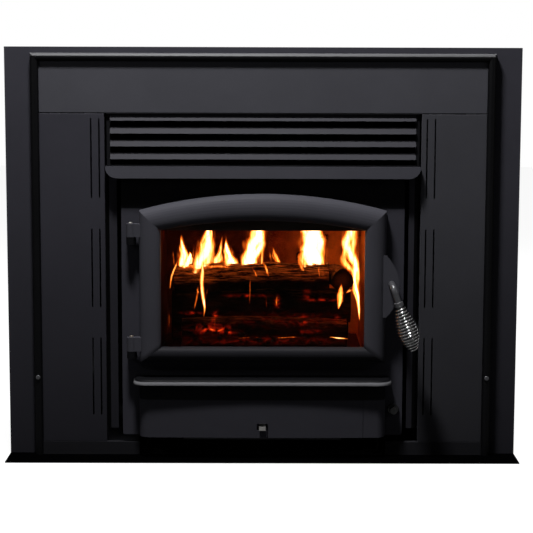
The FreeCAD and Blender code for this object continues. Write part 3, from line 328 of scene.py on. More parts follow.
def rope_braid(name, tone):
    """Braided glass-fibre rope: two crossing sets of strands, dusty between them."""
    f = Finish(name)
    settings = {"wave_type": "BANDS", "bands_direction": "DIAGONAL"}
    lay, over = (
        f.node("ShaderNodeTexWave", settings, {"Vector": at, "Scale": 190.0, "Distortion": 1.2}, out="Fac")
        for at in (f.place(), f.stretched((-1.0, 1.0, 1.0)))
    )
    weave = lay.most(over)
    fuzz = f.cloud(900.0, 3.0)
    return f.body(
        Base_Color=f.blend(weave * 0.8 + fuzz * 0.2, shade(tone, 0.45), tone), Roughness=0.93,
        Normal=f.bump(weave + fuzz * 0.4, 0.6, 0.0009),
    )


def window_glass():
    """Ceramic glass: see-through with its slight amber tint, a faint smoke film towards its foot, and a gloss that
    grows at a slant."""
    f = Finish("window_glass")
    film = f.cloud(16.0, 6.0, 0.6).ease(0.35, 0.8)
    low = 1 - f.height().ease(0.215, 0.33)
    tinted = f.blend(film * 0.25 + low * 0.3, (0.98, 0.92, 0.84), (0.76, 0.62, 0.5))
    clear = f.node("ShaderNodeBsdfTransparent", None, {0: tinted})
    gloss = f.node("ShaderNodeBsdfGlossy", None, {"Color": (0.9, 0.9, 0.9), "Roughness": 0.03})
    slant = f.node("ShaderNodeFresnel", None, {"IOR": 1.35})
    return f.close(f.node("ShaderNodeMixShader", None, {0: slant * 0.13, 1: clear, 2: gloss}))


def moulded_black():
    """Glossy moulded plastic with a soft flow mark."""
    f = Finish("moulded_black")
    flow = f.cloud(60.0, 4.0)
    spark = f.cloud(900.0, 2.0)
    return f.body(
        Base_Color=f.blend(flow, (0.006, 0.006, 0.007), (0.012, 0.012, 0.013)),
        Roughness=0.1 + flow * 0.08 + spark * 0.04, Normal=f.bump(spark, 0.04, 0.0003),
    )


def charred_bark():
    """Burning wood. Up on the log the bark is brown and furrowed, its orange partly painted firelight; lower it is
    black char cracked into blocks, with a red glow in the cracks where embers lie. 'side' grows from 0 at the
    log's foot to its top."""
    f = Finish("charred_bark")
    long_grain = f.cloud(1.0, 6.0, 0.68, f.stretched((22.0, 240.0, 240.0)))
    blocks = f.cells(1.0, "DISTANCE_TO_EDGE", f.stretched((34.0, 70.0, 70.0)))
    cracks = 1 - blocks.ease(0.02, 0.16)
    side = f.own("side")
    scorch = f.cloud(30.0, 5.0, 0.6)
    # The bark's lightest orange is partly painted firelight on the log's top
    bark = f.blend(long_grain.ease(0.4, 0.66), (0.008, 0.0018, 0.0006), (0.62, 0.21, 0.055))
    char = f.blend(scorch.ease(0.35, 0.75), (0.0015, 0.0004, 0.0002), (0.02, 0.005, 0.0016))
    burnt = 1 - (side + scorch * 0.5 - 0.25).ease(0.55, 0.85)
    base = f.blend(burnt, bark, char)
    heat = f.cloud(70.0, 4.0, 0.6).ease(0.38, 0.62)
    glow = f.own("glow") * heat * (0.25 + cracks * 0.75)
    fire = f.ramp(glow, (
        (0.0, (0, 0, 0)), (0.3, (0.35, 0.012, 0.002)), (0.65, (1.0, 0.1, 0.01)), (1.0, (1.0, 0.42, 0.08)),
    ))
    furrows = f.bump(long_grain, 1.0, 0.006)
    return f.body(
        Base_Color=base, Roughness=0.9, Specular_IOR_Level=0.05, Emission_Color=fire, Emission_Strength=1.3,
        Normal=f.bump(blocks.ease(0.0, 0.2), 0.5, 0.004, furrows),
    )


def cut_wood():
    """A sawn log end: growth rings by 'heart', the distance from the middle, and a burnt rim."""
    f = Finish("cut_wood")
    heart = f.own("heart")
    wander = f.cloud(45.0, 4.0)
    ring_angle = (heart + wander * 0.12) * 62.0
    rings = f.node("ShaderNodeMath", {"operation": "SINE"}, {0: ring_angle}) * 0.5 + 0.5
    fine = f.cloud(260.0, 4.0)
    wood = f.blend(rings * 0.5 + fine * 0.5, (0.012, 0.0032, 0.0009), (0.15, 0.05, 0.013))
    rim = (heart + wander * 0.9).ease(0.6, 1.3)
    return f.body(
        Base_Color=f.blend(rim, wood, (0.012, 0.004, 0.0015)), Roughness=0.88, Specular_IOR_Level=0.05,
        Normal=f.bump(rings + fine, 0.7, 0.002),
    )


def ash_bed():
    """Ash in the fire's light and dark crumbs over the hearth, with scattered red glow under the wood."""
    f = Finish("ash_bed")
    drift = f.cloud(20.0, 7.0, 0.65)
    crumbs = f.cloud(150.0, 6.0, 0.75).ease(0.35, 0.65)
    base = f.blend(drift * 0.7 + crumbs * 0.3, (0.04, 0.009, 0.002), (0.3, 0.075, 0.02))
    hot = f.cloud(26.0, 5.0, 0.6).ease(0.58, 0.74) * f.own("glow") * (1 - crumbs * 0.6)
    fire = f.ramp(hot, ((0.0, (0, 0, 0)), (0.35, (0.3, 0.01, 0.004)), (1.0, (1.0, 0.12, 0.03))))
    return f.body(
        Base_Color=base, Roughness=0.95, Specular_IOR_Level=0.05, Emission_Color=fire, Emission_Strength=1.2,
        Normal=f.bump(drift + crumbs * 0.5, 0.6, 0.004),
    )


def live_coal():
    """Glowing charcoal lumps: grey ash skin with red and orange where it is thin."""
    f = Finish("live_coal")
    skin = f.cloud(120.0, 5.0, 0.65)
    base = f.blend(skin, (0.006, 0.005, 0.005), (0.12, 0.1, 0.085))
    hot = (1 - skin.ease(0.36, 0.56)) * f.own("glow")
    fire = f.ramp(hot, (
        (0.0, (0, 0, 0)), (0.4, (0.5, 0.02, 0.008)), (0.8, (1.0, 0.16, 0.03)), (1.0, (1.0, 0.55, 0.14)),
    ))
    return f.body(
        Base_Color=base, Roughness=0.9, Specular_IOR_Level=0.05, Emission_Color=fire, Emission_Strength=1.6,
        Normal=f.bump(skin, 0.6, 0.002),
    )


def fire_tongue():
    """Flame: 'core' is 1 along a tongue's middle and 0 at its rim, 'rise' runs from its root to its tip, and
    'power' is its brightness. The middle is white-yellow, the rim orange and thin; slow streaks run up it."""
    f = Finish("fire_tongue")
    streaks = f.cloud(1.0, 5.0, 0.6, f.stretched((240.0, 90.0, 34.0)))
    rise = f.own("rise")
    heat = f.own("core") * 1.1 * f.own("power") + (streaks - 0.5) * 0.95 - rise * 0.24
    hue = f.ramp(heat, (
        (0.0, (0.1, 0.007, 0.0003)), (0.2, (0.36, 0.036, 0.0015)), (0.45, (0.78, 0.18, 0.016)),
        (0.68, (1.0, 0.5, 0.13)), (0.88, (1.0, 0.88, 0.64)),
    ))
    thick = heat.ease(0.0, 0.95) * 0.4
    light = f.node("ShaderNodeEmission", None, {"Color": hue, "Strength": 5.6})
    clear = f.node("ShaderNodeBsdfTransparent")
    return f.close(f.node("ShaderNodeMixShader", None, {0: thick, 1: clear, 2: light}))


finishes = {
    # The top panel is painted lighter than the sides: painted light, where it catches more light
    "top": stove_paint("paint_top", (0.048, 0.048, 0.056)),
    "sides": stove_paint("paint_sides", (0.031, 0.0305, 0.038), foot=0.45),
    # The right side panel is painted lighter than the left: painted light, where more light falls
    "side_right": stove_paint("paint_side_right", (0.041, 0.041, 0.0475), foot=0.45),
    "slats": stove_paint("paint_slats", (0.031, 0.0305, 0.036), 0.42),
    # The visor is painted darker than the slats: painted shade
    "visor": stove_paint("paint_visor", (0.023, 0.0228, 0.028), 0.42),
    "trim": gloss_black("enamel_trim", (0.002, 0.002, 0.0025), 0.42, 0.7965),
    # Front plate: painted shadow of the visor, black above the door
    "front": stove_paint("paint_front", (0.034, 0.0335, 0.042), painted_shade=0.497),
    # The jambs are painted darker than the front plate, as painted shade where they sit back; farther out they are
    # painted black as a slot's shadow
    "jambs": stove_paint("paint_jambs", (0.023, 0.0225, 0.028), foot=0.55, painted_slot_shadow_from=0.3015),
    # The rails are painted darker than the panels: painted shade at the foot
    "rails": stove_paint("paint_rails", (0.012, 0.012, 0.014)),
    # The spark strip is painted near black: painted shade along the floor
    "strip": stove_paint("paint_strip", (0.0004, 0.0004, 0.0005), 0.8, shine=0.0),
    # Black of the louvre frame; the heat shields get it too, as painted shade behind the gaps between the slats
    "frame": stove_paint("paint_frame", (0.006, 0.006, 0.007), 0.6),
    # Lower cover: painted shadow of the shelf, black across its top
    "cover": stove_paint("paint_cover", (0.034, 0.0335, 0.041), painted_shade=0.1195),
    # The door is painted lighter than the panels, as painted light on its rounded moulding, and darker at its foot,
    # as painted shade
    "door": cast_paint("paint_door", (0.043, 0.0425, 0.051), door_painted_shade),
    # The shelf's light tone is a painted highlight on its nose; above the nose it is painted shadow
    "shelf": cast_paint("paint_shelf", (0.165, 0.165, 0.175), shelf_painted_shadow),
    "handle": stove_paint("paint_handle", (0.05, 0.05, 0.055), 0.2, shine=0.7),
    "plate": stove_paint("plate_black", (0.02, 0.018, 0.016), 0.6, 1.6),
    "zinc": galvanised(),
    "stainless": worked_steel("stainless", (0.52, 0.5, 0.47), (0.36, 0.27, 0.18), 0.28),
    "grey_metal": worked_steel("grey_metal", (0.24, 0.24, 0.245), (0.17, 0.17, 0.175), 0.42),
    "tab_steel": worked_steel("tab_steel", (0.62, 0.61, 0.59), (0.5, 0.48, 0.45), 0.25),
    "nickel": bright_nickel(),
    "brick": firebrick(),
    "board": fibre_board(),
    "rope": rope_braid("rope_grey", (0.3, 0.29, 0.27)),
    "glass": window_glass(),
    "plastic": moulded_black(),
}
dressed = {
    "top": "top_panel",
    "sides": "side_panel_left wall_flange",
    "side_right": "side_panel_right",
    "slats": "louver_slats",
    "visor": "visor",
    "trim": "trim_top trim_left trim_right",
    "front": "front_plate latch_keeper",
    "jambs": "jambs",
    "rails": "bottom_rails cabinet_floor",
    "strip": "spark_strip",
    "frame": "louver_frame heat_shields",
    "cover": "lower_cover cover_end hinge_lugs",
    "door": "door_frame",
    "shelf": "ash_shelf",
    "handle": "handle_rod latch_pawl trim_screws",
    "plate": "firebox_sides firebox_back firebox_floor firebox_top flue_pipe stove_base slide_guides",
    "zinc": "cabinet_sides cabinet_back cabinet_top top_standoffs hold_down_tabs "
            "chimney_anchor outside_air_collar",
    "stainless": "air_tubes air_channels air_doghouse hinge_pins glass_retainer",
    "grey_metal": "blower_base blower_housings blower_motor blower_rotor",
    "tab_steel": "air_slide",
    "nickel": "handle_coil",
    "brick": "firebricks_floor firebricks_sides firebricks_back",
    "board": "baffle_board",
    "rope": "door_gasket glass_gasket",
    "glass": "door_glass",
    "plastic": "speed_control speed_knob",
}
for finish, names in dressed.items():
    for name in names.split():
        nodes[name].data.materials.clear()
        nodes[name].data.materials.append(finishes[finish])


def put(name, points, faces, material, body, own=None, smooth=True):
    """Makes a mesh piece from points and faces, gives each point its own numbers, and sets it on a body."""
    mesh = bpy.data.meshes.new(name)
    mesh.from_pydata(points.reshape(-1, 3).tolist(), [], faces)
    for key, values in (own or {}).items():
        layer = mesh.attributes.new(key, "FLOAT", "POINT")
        layer.data.foreach_set("value", np.asarray(values, np.float32).ravel())
    mesh.polygons.foreach_set("use_smooth", np.full(len(mesh.polygons), smooth))
    mesh.materials.append(material)
    piece = bpy.data.objects.new(name, mesh)
    scene.collection.objects.link(piece)
    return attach(piece, body)


def ring_faces(rows, around, first=0):
    """Quads between neighbouring rings of points, each ring closed on itself, with a fan to a pole at both ends.
    The two poles follow the rings in the list of points."""
    r, a = np.meshgrid(np.arange(rows - 1), np.arange(around), indexing="ij")
    b = (a + 1) % around
    low, high = r * around, (r + 1) * around
    quads = np.stack([low + a, low + b, high + b, high + a], -1).reshape(-1, 4)
    k = np.arange(around)
    n = (k + 1) % around
    last = (rows - 1) * around
    foot = np.stack([np.full(around, rows * around), n, k], -1)
    tip = np.stack([np.full(around, rows * around + 1), last + k, last + n], -1)
    return [tuple(f) for part in (quads, foot, tip) for f in (part + first).tolist()]


def ripple(seed, *angles):
    """A smooth uneven surface: a sum of products of sine waves, weaker as they get finer, with seeded phases."""
    made = np.random.default_rng(seed)
    total = np.zeros(np.broadcast(*angles).shape)
    for step in range(1, 6):
        phases = made.uniform(0, TURN, len(angles))
        waves = made.integers(1, 3 + step, len(angles))
        product = np.prod([np.sin(w * a + p) for w, a, p in zip(waves, angles, phases)], axis=0)
        total += product / step**0.7
    return total


# Embers on the wood: middle (x, height) and half widths in mm, and how hot they are
embers = (
    (-104, 246, 26, 6, 0.75), (-76, 240, 16, 3.5, 0.8), (84, 259, 6, 5, 0.4), (98, 240, 20, 3, 0.22),
    (-98, 265, 5, 8, 0.4), (30, 295, 4, 8, 0.35), (91, 311, 5, 6, 0.35), (-146, 272, 14, 2.5, 0.4),
    (-30, 308, 30, 2, 0.3), (120, 300, 22, 2, 0.35), (150, 262, 6, 5, 0.3), (-20, 222, 150, 7, 0.07),
    (60, 262, 110, 10, 0.04),
)


def ember_glow(points):
    """How hot a point of the wood is: a sum of soft round spots in the plane of the door."""
    x, z = points[..., 0] / MM, points[..., 2] / MM
    return sum(
        hot * np.exp(-(((x - middle) / wide) ** 2) - ((z - height) / tall) ** 2)
        for middle, height, wide, tall, hot in embers
    )


def log(name, start, end, radius, seed, bark, wood, bark_and_firelight, knot=0.0):
    """A round of firewood from start to end: rings of a radius that ripples round and along it, thinner at one
    end and swollen at a knot, on an axis bowed like a shallow sine. Each end is a separate sawn disc, proud of the
    bark's end by a hair and sunk towards its rim. The share of bright bark on top is partly bark left unburnt and
    partly painted firelight."""
    start, end = np.array(start), np.array(end)
    rows, around = 140, 128
    v, u = np.meshgrid(np.linspace(0, 1, rows), np.arange(around) * TURN / around, indexing="ij")
    along = (end - start) / np.linalg.norm(end - start)
    aside = np.cross(along, (0, 0, 1.0))
    aside /= np.linalg.norm(aside)
    above = np.cross(aside, along)
    lumpy, furrowed, rough, taper, arch = 0.05, 0.022, 0.016, 0.06, 0.09  # as shares of the radius
    r = radius * (1 + lumpy * ripple(seed, u, v * 4) + furrowed * ripple(seed + 1, u * 4, v * 9))
    r *= 1 + rough * ripple(seed + 2, u * 5, v * 16) - taper * v
    knot_u, knot_wide, knot_v, knot_long = 1.4, 0.45, 0.62, 0.06
    r += knot * np.exp(-(((u - knot_u) / knot_wide) ** 2) - ((v - knot_v) / knot_long) ** 2)
    bow = arch * radius * np.sin(np.pi * v)
    axis = start + v[..., None] * (end - start) + bow[..., None] * above
    ring = axis + (r * np.cos(u))[..., None] * aside + (r * np.sin(u))[..., None] * above
    side = bark_and_firelight * (0.5 + 0.5 * np.sin(u))
    hot = ember_glow(ring)
    poles = np.stack([axis[0, 0], axis[-1, 0]])
    points = np.concatenate([ring.reshape(-1, 3), poles])
    own = {"side": np.append(side, [0, 0]), "glow": np.append(hot, [0, 0])}
    put(name, points, ring_faces(rows, around), bark, "unit", own)
    share = np.array([0.96, 0.75, 0.5, 0.25])  # the disc's rings, from its rim inwards
    proud, sunk = 0.0012, 0.001
    last = (len(share) - 1) * around
    for label, at, out in (("a", 0, -along), ("b", -1, along)):
        middle = axis[at, 0] + out * proud
        edge = ring[at] - axis[at, 0]
        disc = middle + share[:, None, None] * edge - out * (share[:, None, None] ** 6) * sunk
        disc = disc if label == "b" else disc[:, ::-1]
        faces = ring_faces(len(share), around)[:last]
        faces += [(last + around, last + k, last + (k + 1) % around) for k in range(around)]
        points = np.concatenate([disc.reshape(-1, 3), middle[None]])
        put(f"{name}_end_{label}", points, faces, wood, "unit", {"heart": np.append(np.repeat(share, around), 0)})


def heap(name, material):
    """Ash over the hearth: a closed sheet whose height is a few sine ripples that sink to nothing at its rim; its
    underside lies flat on the bricks. 'glow' is strongest in a band under the wood."""
    across, deep = 90, 70
    half, front, back, slope = 0.208, 0.064, 0.352, 0.02
    underside, thinnest, depth, swell, ruffle = 0.1862, 0.0002, 0.008, 0.002, 0.0012
    gx, gy = np.meshgrid(np.linspace(-half, half, across), np.linspace(front, back, deep))
    u, v = (gx + half) * 14, (gy - 0.02) * 16
    rim = np.clip((half - np.abs(gx)) / slope, 0, 1)
    rim *= np.clip((gy - front) / slope, 0, 1) * np.clip((back - gy) / slope, 0, 1)
    drift = depth + swell * ripple(5, u, v) + ruffle * ripple(8, u * 3, v * 3)
    z = underside + thinnest + rim * drift.clip(0.001, 0.015)
    top = np.stack([gx, gy, z], -1).reshape(-1, 3)
    low = np.stack([gx, gy, np.full_like(gx, underside)], -1).reshape(-1, 3)
    r, c = np.meshgrid(np.arange(deep - 1), np.arange(across - 1), indexing="ij")
    a = r * across + c
    quads = np.stack([a, a + 1, a + across + 1, a + across], -1).reshape(-1, 4)
    count = across * deep
    loop = np.concatenate([
        np.arange(across), np.arange(1, deep) * across + across - 1,
        (deep - 1) * across + np.arange(across - 2, -1, -1), np.arange(deep - 2, 0, -1) * across,
    ])
    after = np.roll(loop, -1)
    walls = np.stack([loop, loop + count, after + count, after], -1)
    faces = [tuple(f) for part in (quads, quads[:, ::-1] + count, walls) for f in part.tolist()]
    hot_row, hot_width = 0.12, 0.06
    glow = np.exp(-(((gy - hot_row) / hot_width) ** 2)) * np.clip(0.7 + 0.5 * ripple(3, u * 0.6, v), 0, 1)
    put(name, np.concatenate([top, low]), faces, material, "unit", {"glow": np.tile(glow.ravel(), 2)})


def lumps(name, material, places, seed):
    """Broken charcoal: at each place a small ball of 6 rings of 8 points, flattened, turned and dented by seeded
    amounts; places give x, y, height, size and glow."""
    made = np.random.default_rng(seed)
    rows, around, cap = 6, 8, 0.25
    from_foot, round_it = np.linspace(cap, np.pi - cap, rows), np.arange(around) * TURN / around
    t, u = np.meshgrid(from_foot, round_it, indexing="ij")
    points, faces, glow = [], [], []
    for x, y, z, size, hot in places:
        dent = 1 + made.uniform(-0.22, 0.22, t.shape)
        ball = np.stack([np.sin(t) * np.cos(u), np.sin(t) * np.sin(u), -np.cos(t)], -1) * dent[..., None]
        shape = np.concatenate([ball.reshape(-1, 3), [[0, 0, -1], [0, 0, 1]]]) * made.uniform(0.7, 1.3, 3)
        spin = Matrix.Rotation(made.uniform(0, TURN), 3, "Z")
        turn = np.array(spin @ Matrix.Rotation(made.uniform(-0.6, 0.6), 3, "X"))
        faces += ring_faces(rows, around, sum(len(p) for p in points))
        points.append(shape @ turn.T * size + (x, y, z))
        glow.append(np.full(len(shape), hot))
    put(name, np.concatenate(points), faces, material, "unit", {"glow": np.concatenate(glow)}, False)


def curve_through(stations, count):
    """Evenly spaced points of a smooth curve through the stations: each span is a cubic whose slopes are those
    between the neighbouring stations."""
    p = np.array(stations, float)
    m = np.gradient(p, axis=0)
    t = np.linspace(0, len(p) - 1, count)
    k = np.minimum(t.astype(int), len(p) - 2)
    s = (t - k)[:, None]
    h = 2 * s**3 - 3 * s**2
    return (h + 1) * p[k] + (s**3 - 2 * s**2 + s) * m[k] - h * p[k + 1] + (s**3 - s**2) * m[k + 1]


def tongue(name, depth, stations, power, material, seed):
    """One flame: a flattened tube whose spine and half width run smoothly through the stations (x, z, half width);
    its rim flickers by seeded ripples and it closes to a point at root and tip. It is a third as deep as wide, and
    drawn wider than its stations say, because its rim fades out."""
    rows, around = 40, 28
    fading, thinnest, flatness, full_core = 1.9, 0.0003, 0.34, 0.005
    flicker, swing = 0.14, 0.004
    x, z, half = (curve_through(stations, rows) * MM).T
    half = fading * np.maximum(half, thinnest)
    v, u = np.meshgrid(np.linspace(0, 1, rows), np.arange(around) * TURN / around, indexing="ij")
    flick = 1 + flicker * ripple(seed, u, v * 8) * np.sin(np.pi * v)
    dx, dz = np.gradient(x), np.gradient(z)
    slant = dx / np.maximum(np.hypot(dx, dz), 1e-9)
    wide = half[:, None] * flick * np.cos(u)
    lean = swing * np.sin(v * 5 + seed) * np.sin(np.pi * v)
    ring = np.stack([
        x[:, None] + wide * np.sqrt(1 - slant[:, None] ** 2),
        depth * MM + lean - flatness * half[:, None] * np.sin(u),
        z[:, None] - wide * slant[:, None],
    ], -1)
    ends = np.stack([ring[0].mean(0) * 2 - ring[1].mean(0), ring[-1].mean(0) * 2 - ring[-2].mean(0)])
    core = np.sin(u) ** 4 * np.minimum(1, half[:, None] / full_core) ** 0.5
    # The rings go in from the tip, so that the faces point outwards
    points = np.concatenate([ring[::-1].reshape(-1, 3), ends[::-1]])
    own = {
        "core": np.append(core[::-1], [0, 0]),
        "rise": np.append(v[::-1], [1, 0]),
        "power": np.full(len(points), power),
    }
    put(name, points, ring_faces(rows, around), material, "unit", own)


def sheet_screws(name, material, places):
    """Hex screws with a washer: at each place a stack of rings of 24 points, round in the washer and the crown and
    six-sided between them, with a pole at foot and crown. A place gives a point on the sheet and the way out."""
    around = 24
    u = np.arange(around) * TURN / around
    even = np.ones(around)
    six_sided = np.cos(np.pi / 6) / np.cos(u % (np.pi / 3) - np.pi / 6)
    # Each ring of a screw, in mm: radius, height, and the outline that scales its radius
    profile = ((5.4, 0.0, even), (5.4, 0.8, even), (3.9, 0.9, six_sided), (3.9, 2.6, six_sided), (3.2, 3.0, even))
    crown = profile[-1][1] * MM
    points, faces = [], []
    for count, (point, out) in enumerate(places):
        out = np.array(out, float)
        aside = np.array([out[1], out[2], out[0]])
        above = np.cross(out, aside)
        spokes = np.cos(u)[:, None] * aside + np.sin(u)[:, None] * above
        rings = [(r * MM * outline)[:, None] * spokes + h * MM * out for r, h, outline in profile]
        poles = np.stack([np.zeros(3), crown * out])
        stack = np.concatenate([*rings, poles]) + point
        faces += ring_faces(len(profile), around, count * len(stack))
        points.append(stack)
    put(name, np.concatenate(points), faces, material, "unit", smooth=False)


# Rows of screws round the casing, 12 mm in from its edges
casing_half, casing_back, casing_top, inset = 0.43, 0.544, 0.745, 0.012
row_half, row_back, row_top = casing_half - inset, casing_back - inset, casing_top - inset
up_the_edge = np.linspace(0.07, 0.7, 6)
along_the_top = np.linspace(-0.36, 0.36, 7)
into_the_wall = np.linspace(0.06, 0.48, 5)
screw_places = [((s * row_half, casing_back, z), (0, 1, 0)) for s in (-1, 1) for z in up_the_edge]
screw_places += [((x, casing_back, row_top), (0, 1, 0)) for x in along_the_top]
screw_places += [((s * casing_half, row_back, z), (s, 0, 0)) for s in (-1, 1) for z in up_the_edge]
screw_places += [((s * casing_half, y, row_top), (s, 0, 0)) for s in (-1, 1) for y in into_the_wall]
screw_places += [((s * row_half, y, casing_top), (0, 0, 1)) for s in (-1, 1) for y in into_the_wall]
screw_places += [((x, y, casing_top), (0, 0, 1)) for y in (inset, row_back) for x in along_the_top]
sheet_screws("casing_screws", finishes["grey_metal"], screw_places)

bark, wood = charred_bark(), cut_wood()
log("log_top", (-0.181, 0.108, 0.342), (0.136, 0.102, 0.349), 0.0285, 11, bark, wood, 1.7, 0.004)
log("log_middle", (-0.186, 0.134, 0.284), (0.182, 0.124, 0.286), 0.036, 23, bark, wood, 0.7)
log("log_front", (-0.165, 0.082, 0.231), (0.172, 0.09, 0.231), 0.033, 37, bark, wood, 0.7)
log("log_back", (-0.19, 0.19, 0.235), (0.18, 0.182, 0.235), 0.036, 41, bark, wood, 0.6)
log("log_stub", (0.163, 0.072, 0.344), (0.15, 0.2, 0.341), 0.0225, 53, bark, wood, 1.0)
heap("ash", ash_bed())
scatter = np.random.default_rng(77)
ash_top, coal_count = 0.1955, 70
coal_places = [
    (scatter.uniform(-0.15, 0.15), scatter.uniform(0.07, 0.2), ash_top,
     scatter.uniform(0.003, 0.008), scatter.uniform(0.1, 1.0))
    for _ in range(coal_count)
]
lumps("coals", live_coal(), coal_places, 9)
# Each tongue: how deep in the firebox, how bright, and its stations (x, height, half width) from root to tip.
# Lengths are in mm
tongues = (
    (70, 0.75, ((-189, 328, 0.9), (-187, 349, 2.3), (-181, 364, 2.6), (-175, 378, 2.0), (-171, 393, 0.6))),
    (110, 0.45, ((-183, 370, 1.8), (-185, 391, 2.6), (-187, 408, 0.6))),
    (105, 1.0, ((-159, 363, 7.0), (-161, 375, 10.5), (-164, 397, 7.6), (-167, 415, 4.4), (-168, 429, 0.6))),
    (100, 1.0, ((-156, 367, 6.4), (-153, 379, 7.6), (-150, 391, 3.8), (-150, 399, 0.6))),
    (110, 0.45, ((-145, 373, 2.0), (-143, 394, 2.3), (-142, 412, 0.6))),
    (95, 1.0, ((-133, 315, 0.9), (-134, 337, 5.2), (-132, 360, 8.7), (-125, 381, 13.9), (-118, 404, 16.3),
               (-113, 425, 12.2), (-110, 444, 6.4), (-108, 461, 2.9))),
    (62, 0.85, ((-120, 270, 0.5), (-119, 288, 2.4), (-121, 308, 4.0), (-123, 332, 4.4), (-124, 356, 4.4),
                (-122, 384, 1.5))),
    (64, 0.5, ((-140, 285, 0.9), (-135, 308, 2.3), (-132, 327, 2.0), (-131, 338, 0.6))),
    (64, 0.45, ((-116, 308, 0.9), (-112, 330, 1.4), (-110, 346, 0.6))),
    (112, 0.8, ((-97, 375, 3.5), (-94, 382, 8.2), (-89, 397, 4.7), (-86, 413, 3.2), (-83, 432, 0.6))),
    (106, 1.0, ((-70, 363, 5.8), (-68, 375, 13.4), (-70, 391, 7.9), (-74, 409, 4.9), (-76, 426, 0.6))),
    (100, 1.15, ((-38, 364, 6.4), (-31, 372, 13.4), (-24, 389, 15.1), (-18, 410, 15.1), (-13, 427, 15.1),
                 (-10, 444, 14.5), (-8, 460, 11.6))),
    (96, 0.6, ((-2, 364, 0.9), (-3, 380, 3.5), (-1, 402, 3.5), (1, 425, 2.6), (3, 444, 2.0), (3, 457, 0.6))),
    (105, 0.6, ((-43, 366, 1.7), (-44, 377, 1.7), (-44, 389, 0.6))),
    (72, 0.5, ((-13, 352, 0.9), (-16, 361, 2.9), (-20, 369, 2.3), (-22, 378, 0.6))),
    (74, 0.55, ((12, 351, 0.9), (9, 364, 2.9), (4, 375, 3.5), (-2, 385, 0.9))),
    (118, 0.5, ((18, 378, 1.5), (16, 389, 2.9), (14, 403, 0.6))),
    (112, 0.6, ((38, 365, 1.8), (31, 378, 5.0), (24, 394, 4.7), (21, 410, 0.6))),
    (100, 1.3, ((104, 366, 8.7), (105, 381, 16.9), (104, 401, 19.2), (101, 425, 19.2), (99, 444, 19.7),
                (98, 460, 16.8))),
    (90, 0.7, ((90, 351, 1.5), (85, 373, 7.0), (81, 389, 9.3), (82, 402, 3.5))),
    (92, 0.6, ((128, 369, 0.9), (123, 382, 2.9), (122, 405, 2.6), (120, 427, 1.7), (120, 440, 0.6))),
    (72, 0.6, ((116, 352, 0.6), (115, 364, 2.0), (115, 376, 0.9))),
    (80, 1.0, ((199, 262, 0.6), (197, 287, 2.3), (194, 311, 3.8), (191, 331, 5.2), (190, 354, 6.4),
               (187, 378, 9.3), (178, 398, 13.9), (174, 419, 12.7), (176, 439, 14.4), (180, 456, 15.0))),
    (84, 0.7, ((177, 365, 1.4), (173, 373, 5.8), (169, 382, 4.6), (166, 392, 0.9))),
    (52, 0.75, ((154, 289, 0.9), (156, 304, 5.2), (159, 323, 6.0), (160, 340, 0.9))),
    (56, 0.6, ((169, 320, 0.6), (174, 324, 2.9), (182, 327, 2.9), (188, 332, 0.9))),
    (60, 0.5, ((-27, 298, 0.6), (-26, 322, 1.7), (-25, 342, 1.7), (-24, 358, 0.6))),
    (62, 0.35, ((8, 288, 0.6), (7, 310, 1.2), (7, 330, 0.6))),
    (50, 0.5, ((28, 296, 0.9), (29, 307, 2.6), (30, 318, 0.6))),
    (60, 0.45, ((-192, 246, 0.4), (-190, 266, 1.3), (-192, 288, 0.4))),
    (46, 0.45, ((-98, 252, 0.6), (-97, 268, 1.7), (-99, 283, 0.6))),
    (50, 0.8, ((-49, 228, 0.3), (-22, 229.5, 1.0), (4, 229, 0.3))),
    (50, 0.9, ((31, 229, 0.3), (55, 230, 1.1), (80, 229, 0.3))),
    (48, 1.3, ((137, 231, 0.4), (156, 229.5, 1.7), (176, 227, 0.4))),
    (72, 0.5, ((-4, 357, 0.3), (35, 358.5, 0.9), (73, 358, 0.3))),
    (96, 0.6, ((-176, 366, 1.0), (-150, 369, 4.5), (-118, 368, 5.0), (-90, 370, 3.5), (-62, 367, 5.0),
               (-40, 368, 1.0))),
    (94, 0.55, ((-66, 364, 0.8), (-30, 366, 4.0), (10, 364, 3.0), (46, 366, 1.0))),
    (94, 0.55, ((70, 364, 0.8), (96, 367, 4.5), (124, 366, 3.5), (150, 364, 0.8))),
)
# The strands of a wide flame: offset and width as shares of its half width, length, depth in mm, brightness. The
# first is a dim veil round it; a narrow flame has the second alone
strands = (
    (0.0, 1.12, 1.06, 12, 0.42), (0.0, 0.72, 1.0, 0, 0.95), (-0.55, 0.5, 0.86, -6, 0.7), (0.5, 0.55, 0.93, 5, 0.8),
    (-0.15, 0.34, 1.1, 9, 0.75),
)
wide_from = 4.5


def strand_stations(stations, aside, share, reach, seed):
    """Stations of one strand of a flame: it weaves, by a sine, about its offset from the flame's spine and has its
    own length."""
    weave, pace = 0.3, 1.9
    x, z, half = np.array(stations, float).T
    sway = aside + weave * np.sin(pace * np.arange(len(x)) + seed)
    return np.stack([x + half * sway, z[0] + (z - z[0]) * reach, half * share], -1)


flame = fire_tongue()
for number, (depth, power, stations) in enumerate(tongues):
    is_wide = max(half_width for _, _, half_width in stations) > wide_from
    for strand, (aside, share, reach, behind, bright) in enumerate(strands if is_wide else strands[1:2]):
        path = strand_stations(stations, aside, share, reach, number + strand)
        seed = len(strands) * number + strand + 1
        tongue(f"flame_{number:02d}_{strand}", depth + behind, path, power * bright, flame, seed)


def shown_rays(f):
    """How far a ray finds the white background: wholly for the camera and through glass, dimly in gloss."""
    in_gloss = 0.1
    ray = f.node("ShaderNodeLightPath").socket.node.outputs
    direct = Reading(f, ray["Is Camera Ray"]).most(Reading(f, ray["Is Transmission Ray"]))
    return direct.most(Reading(f, ray["Is Glossy Ray"]) * in_gloss)


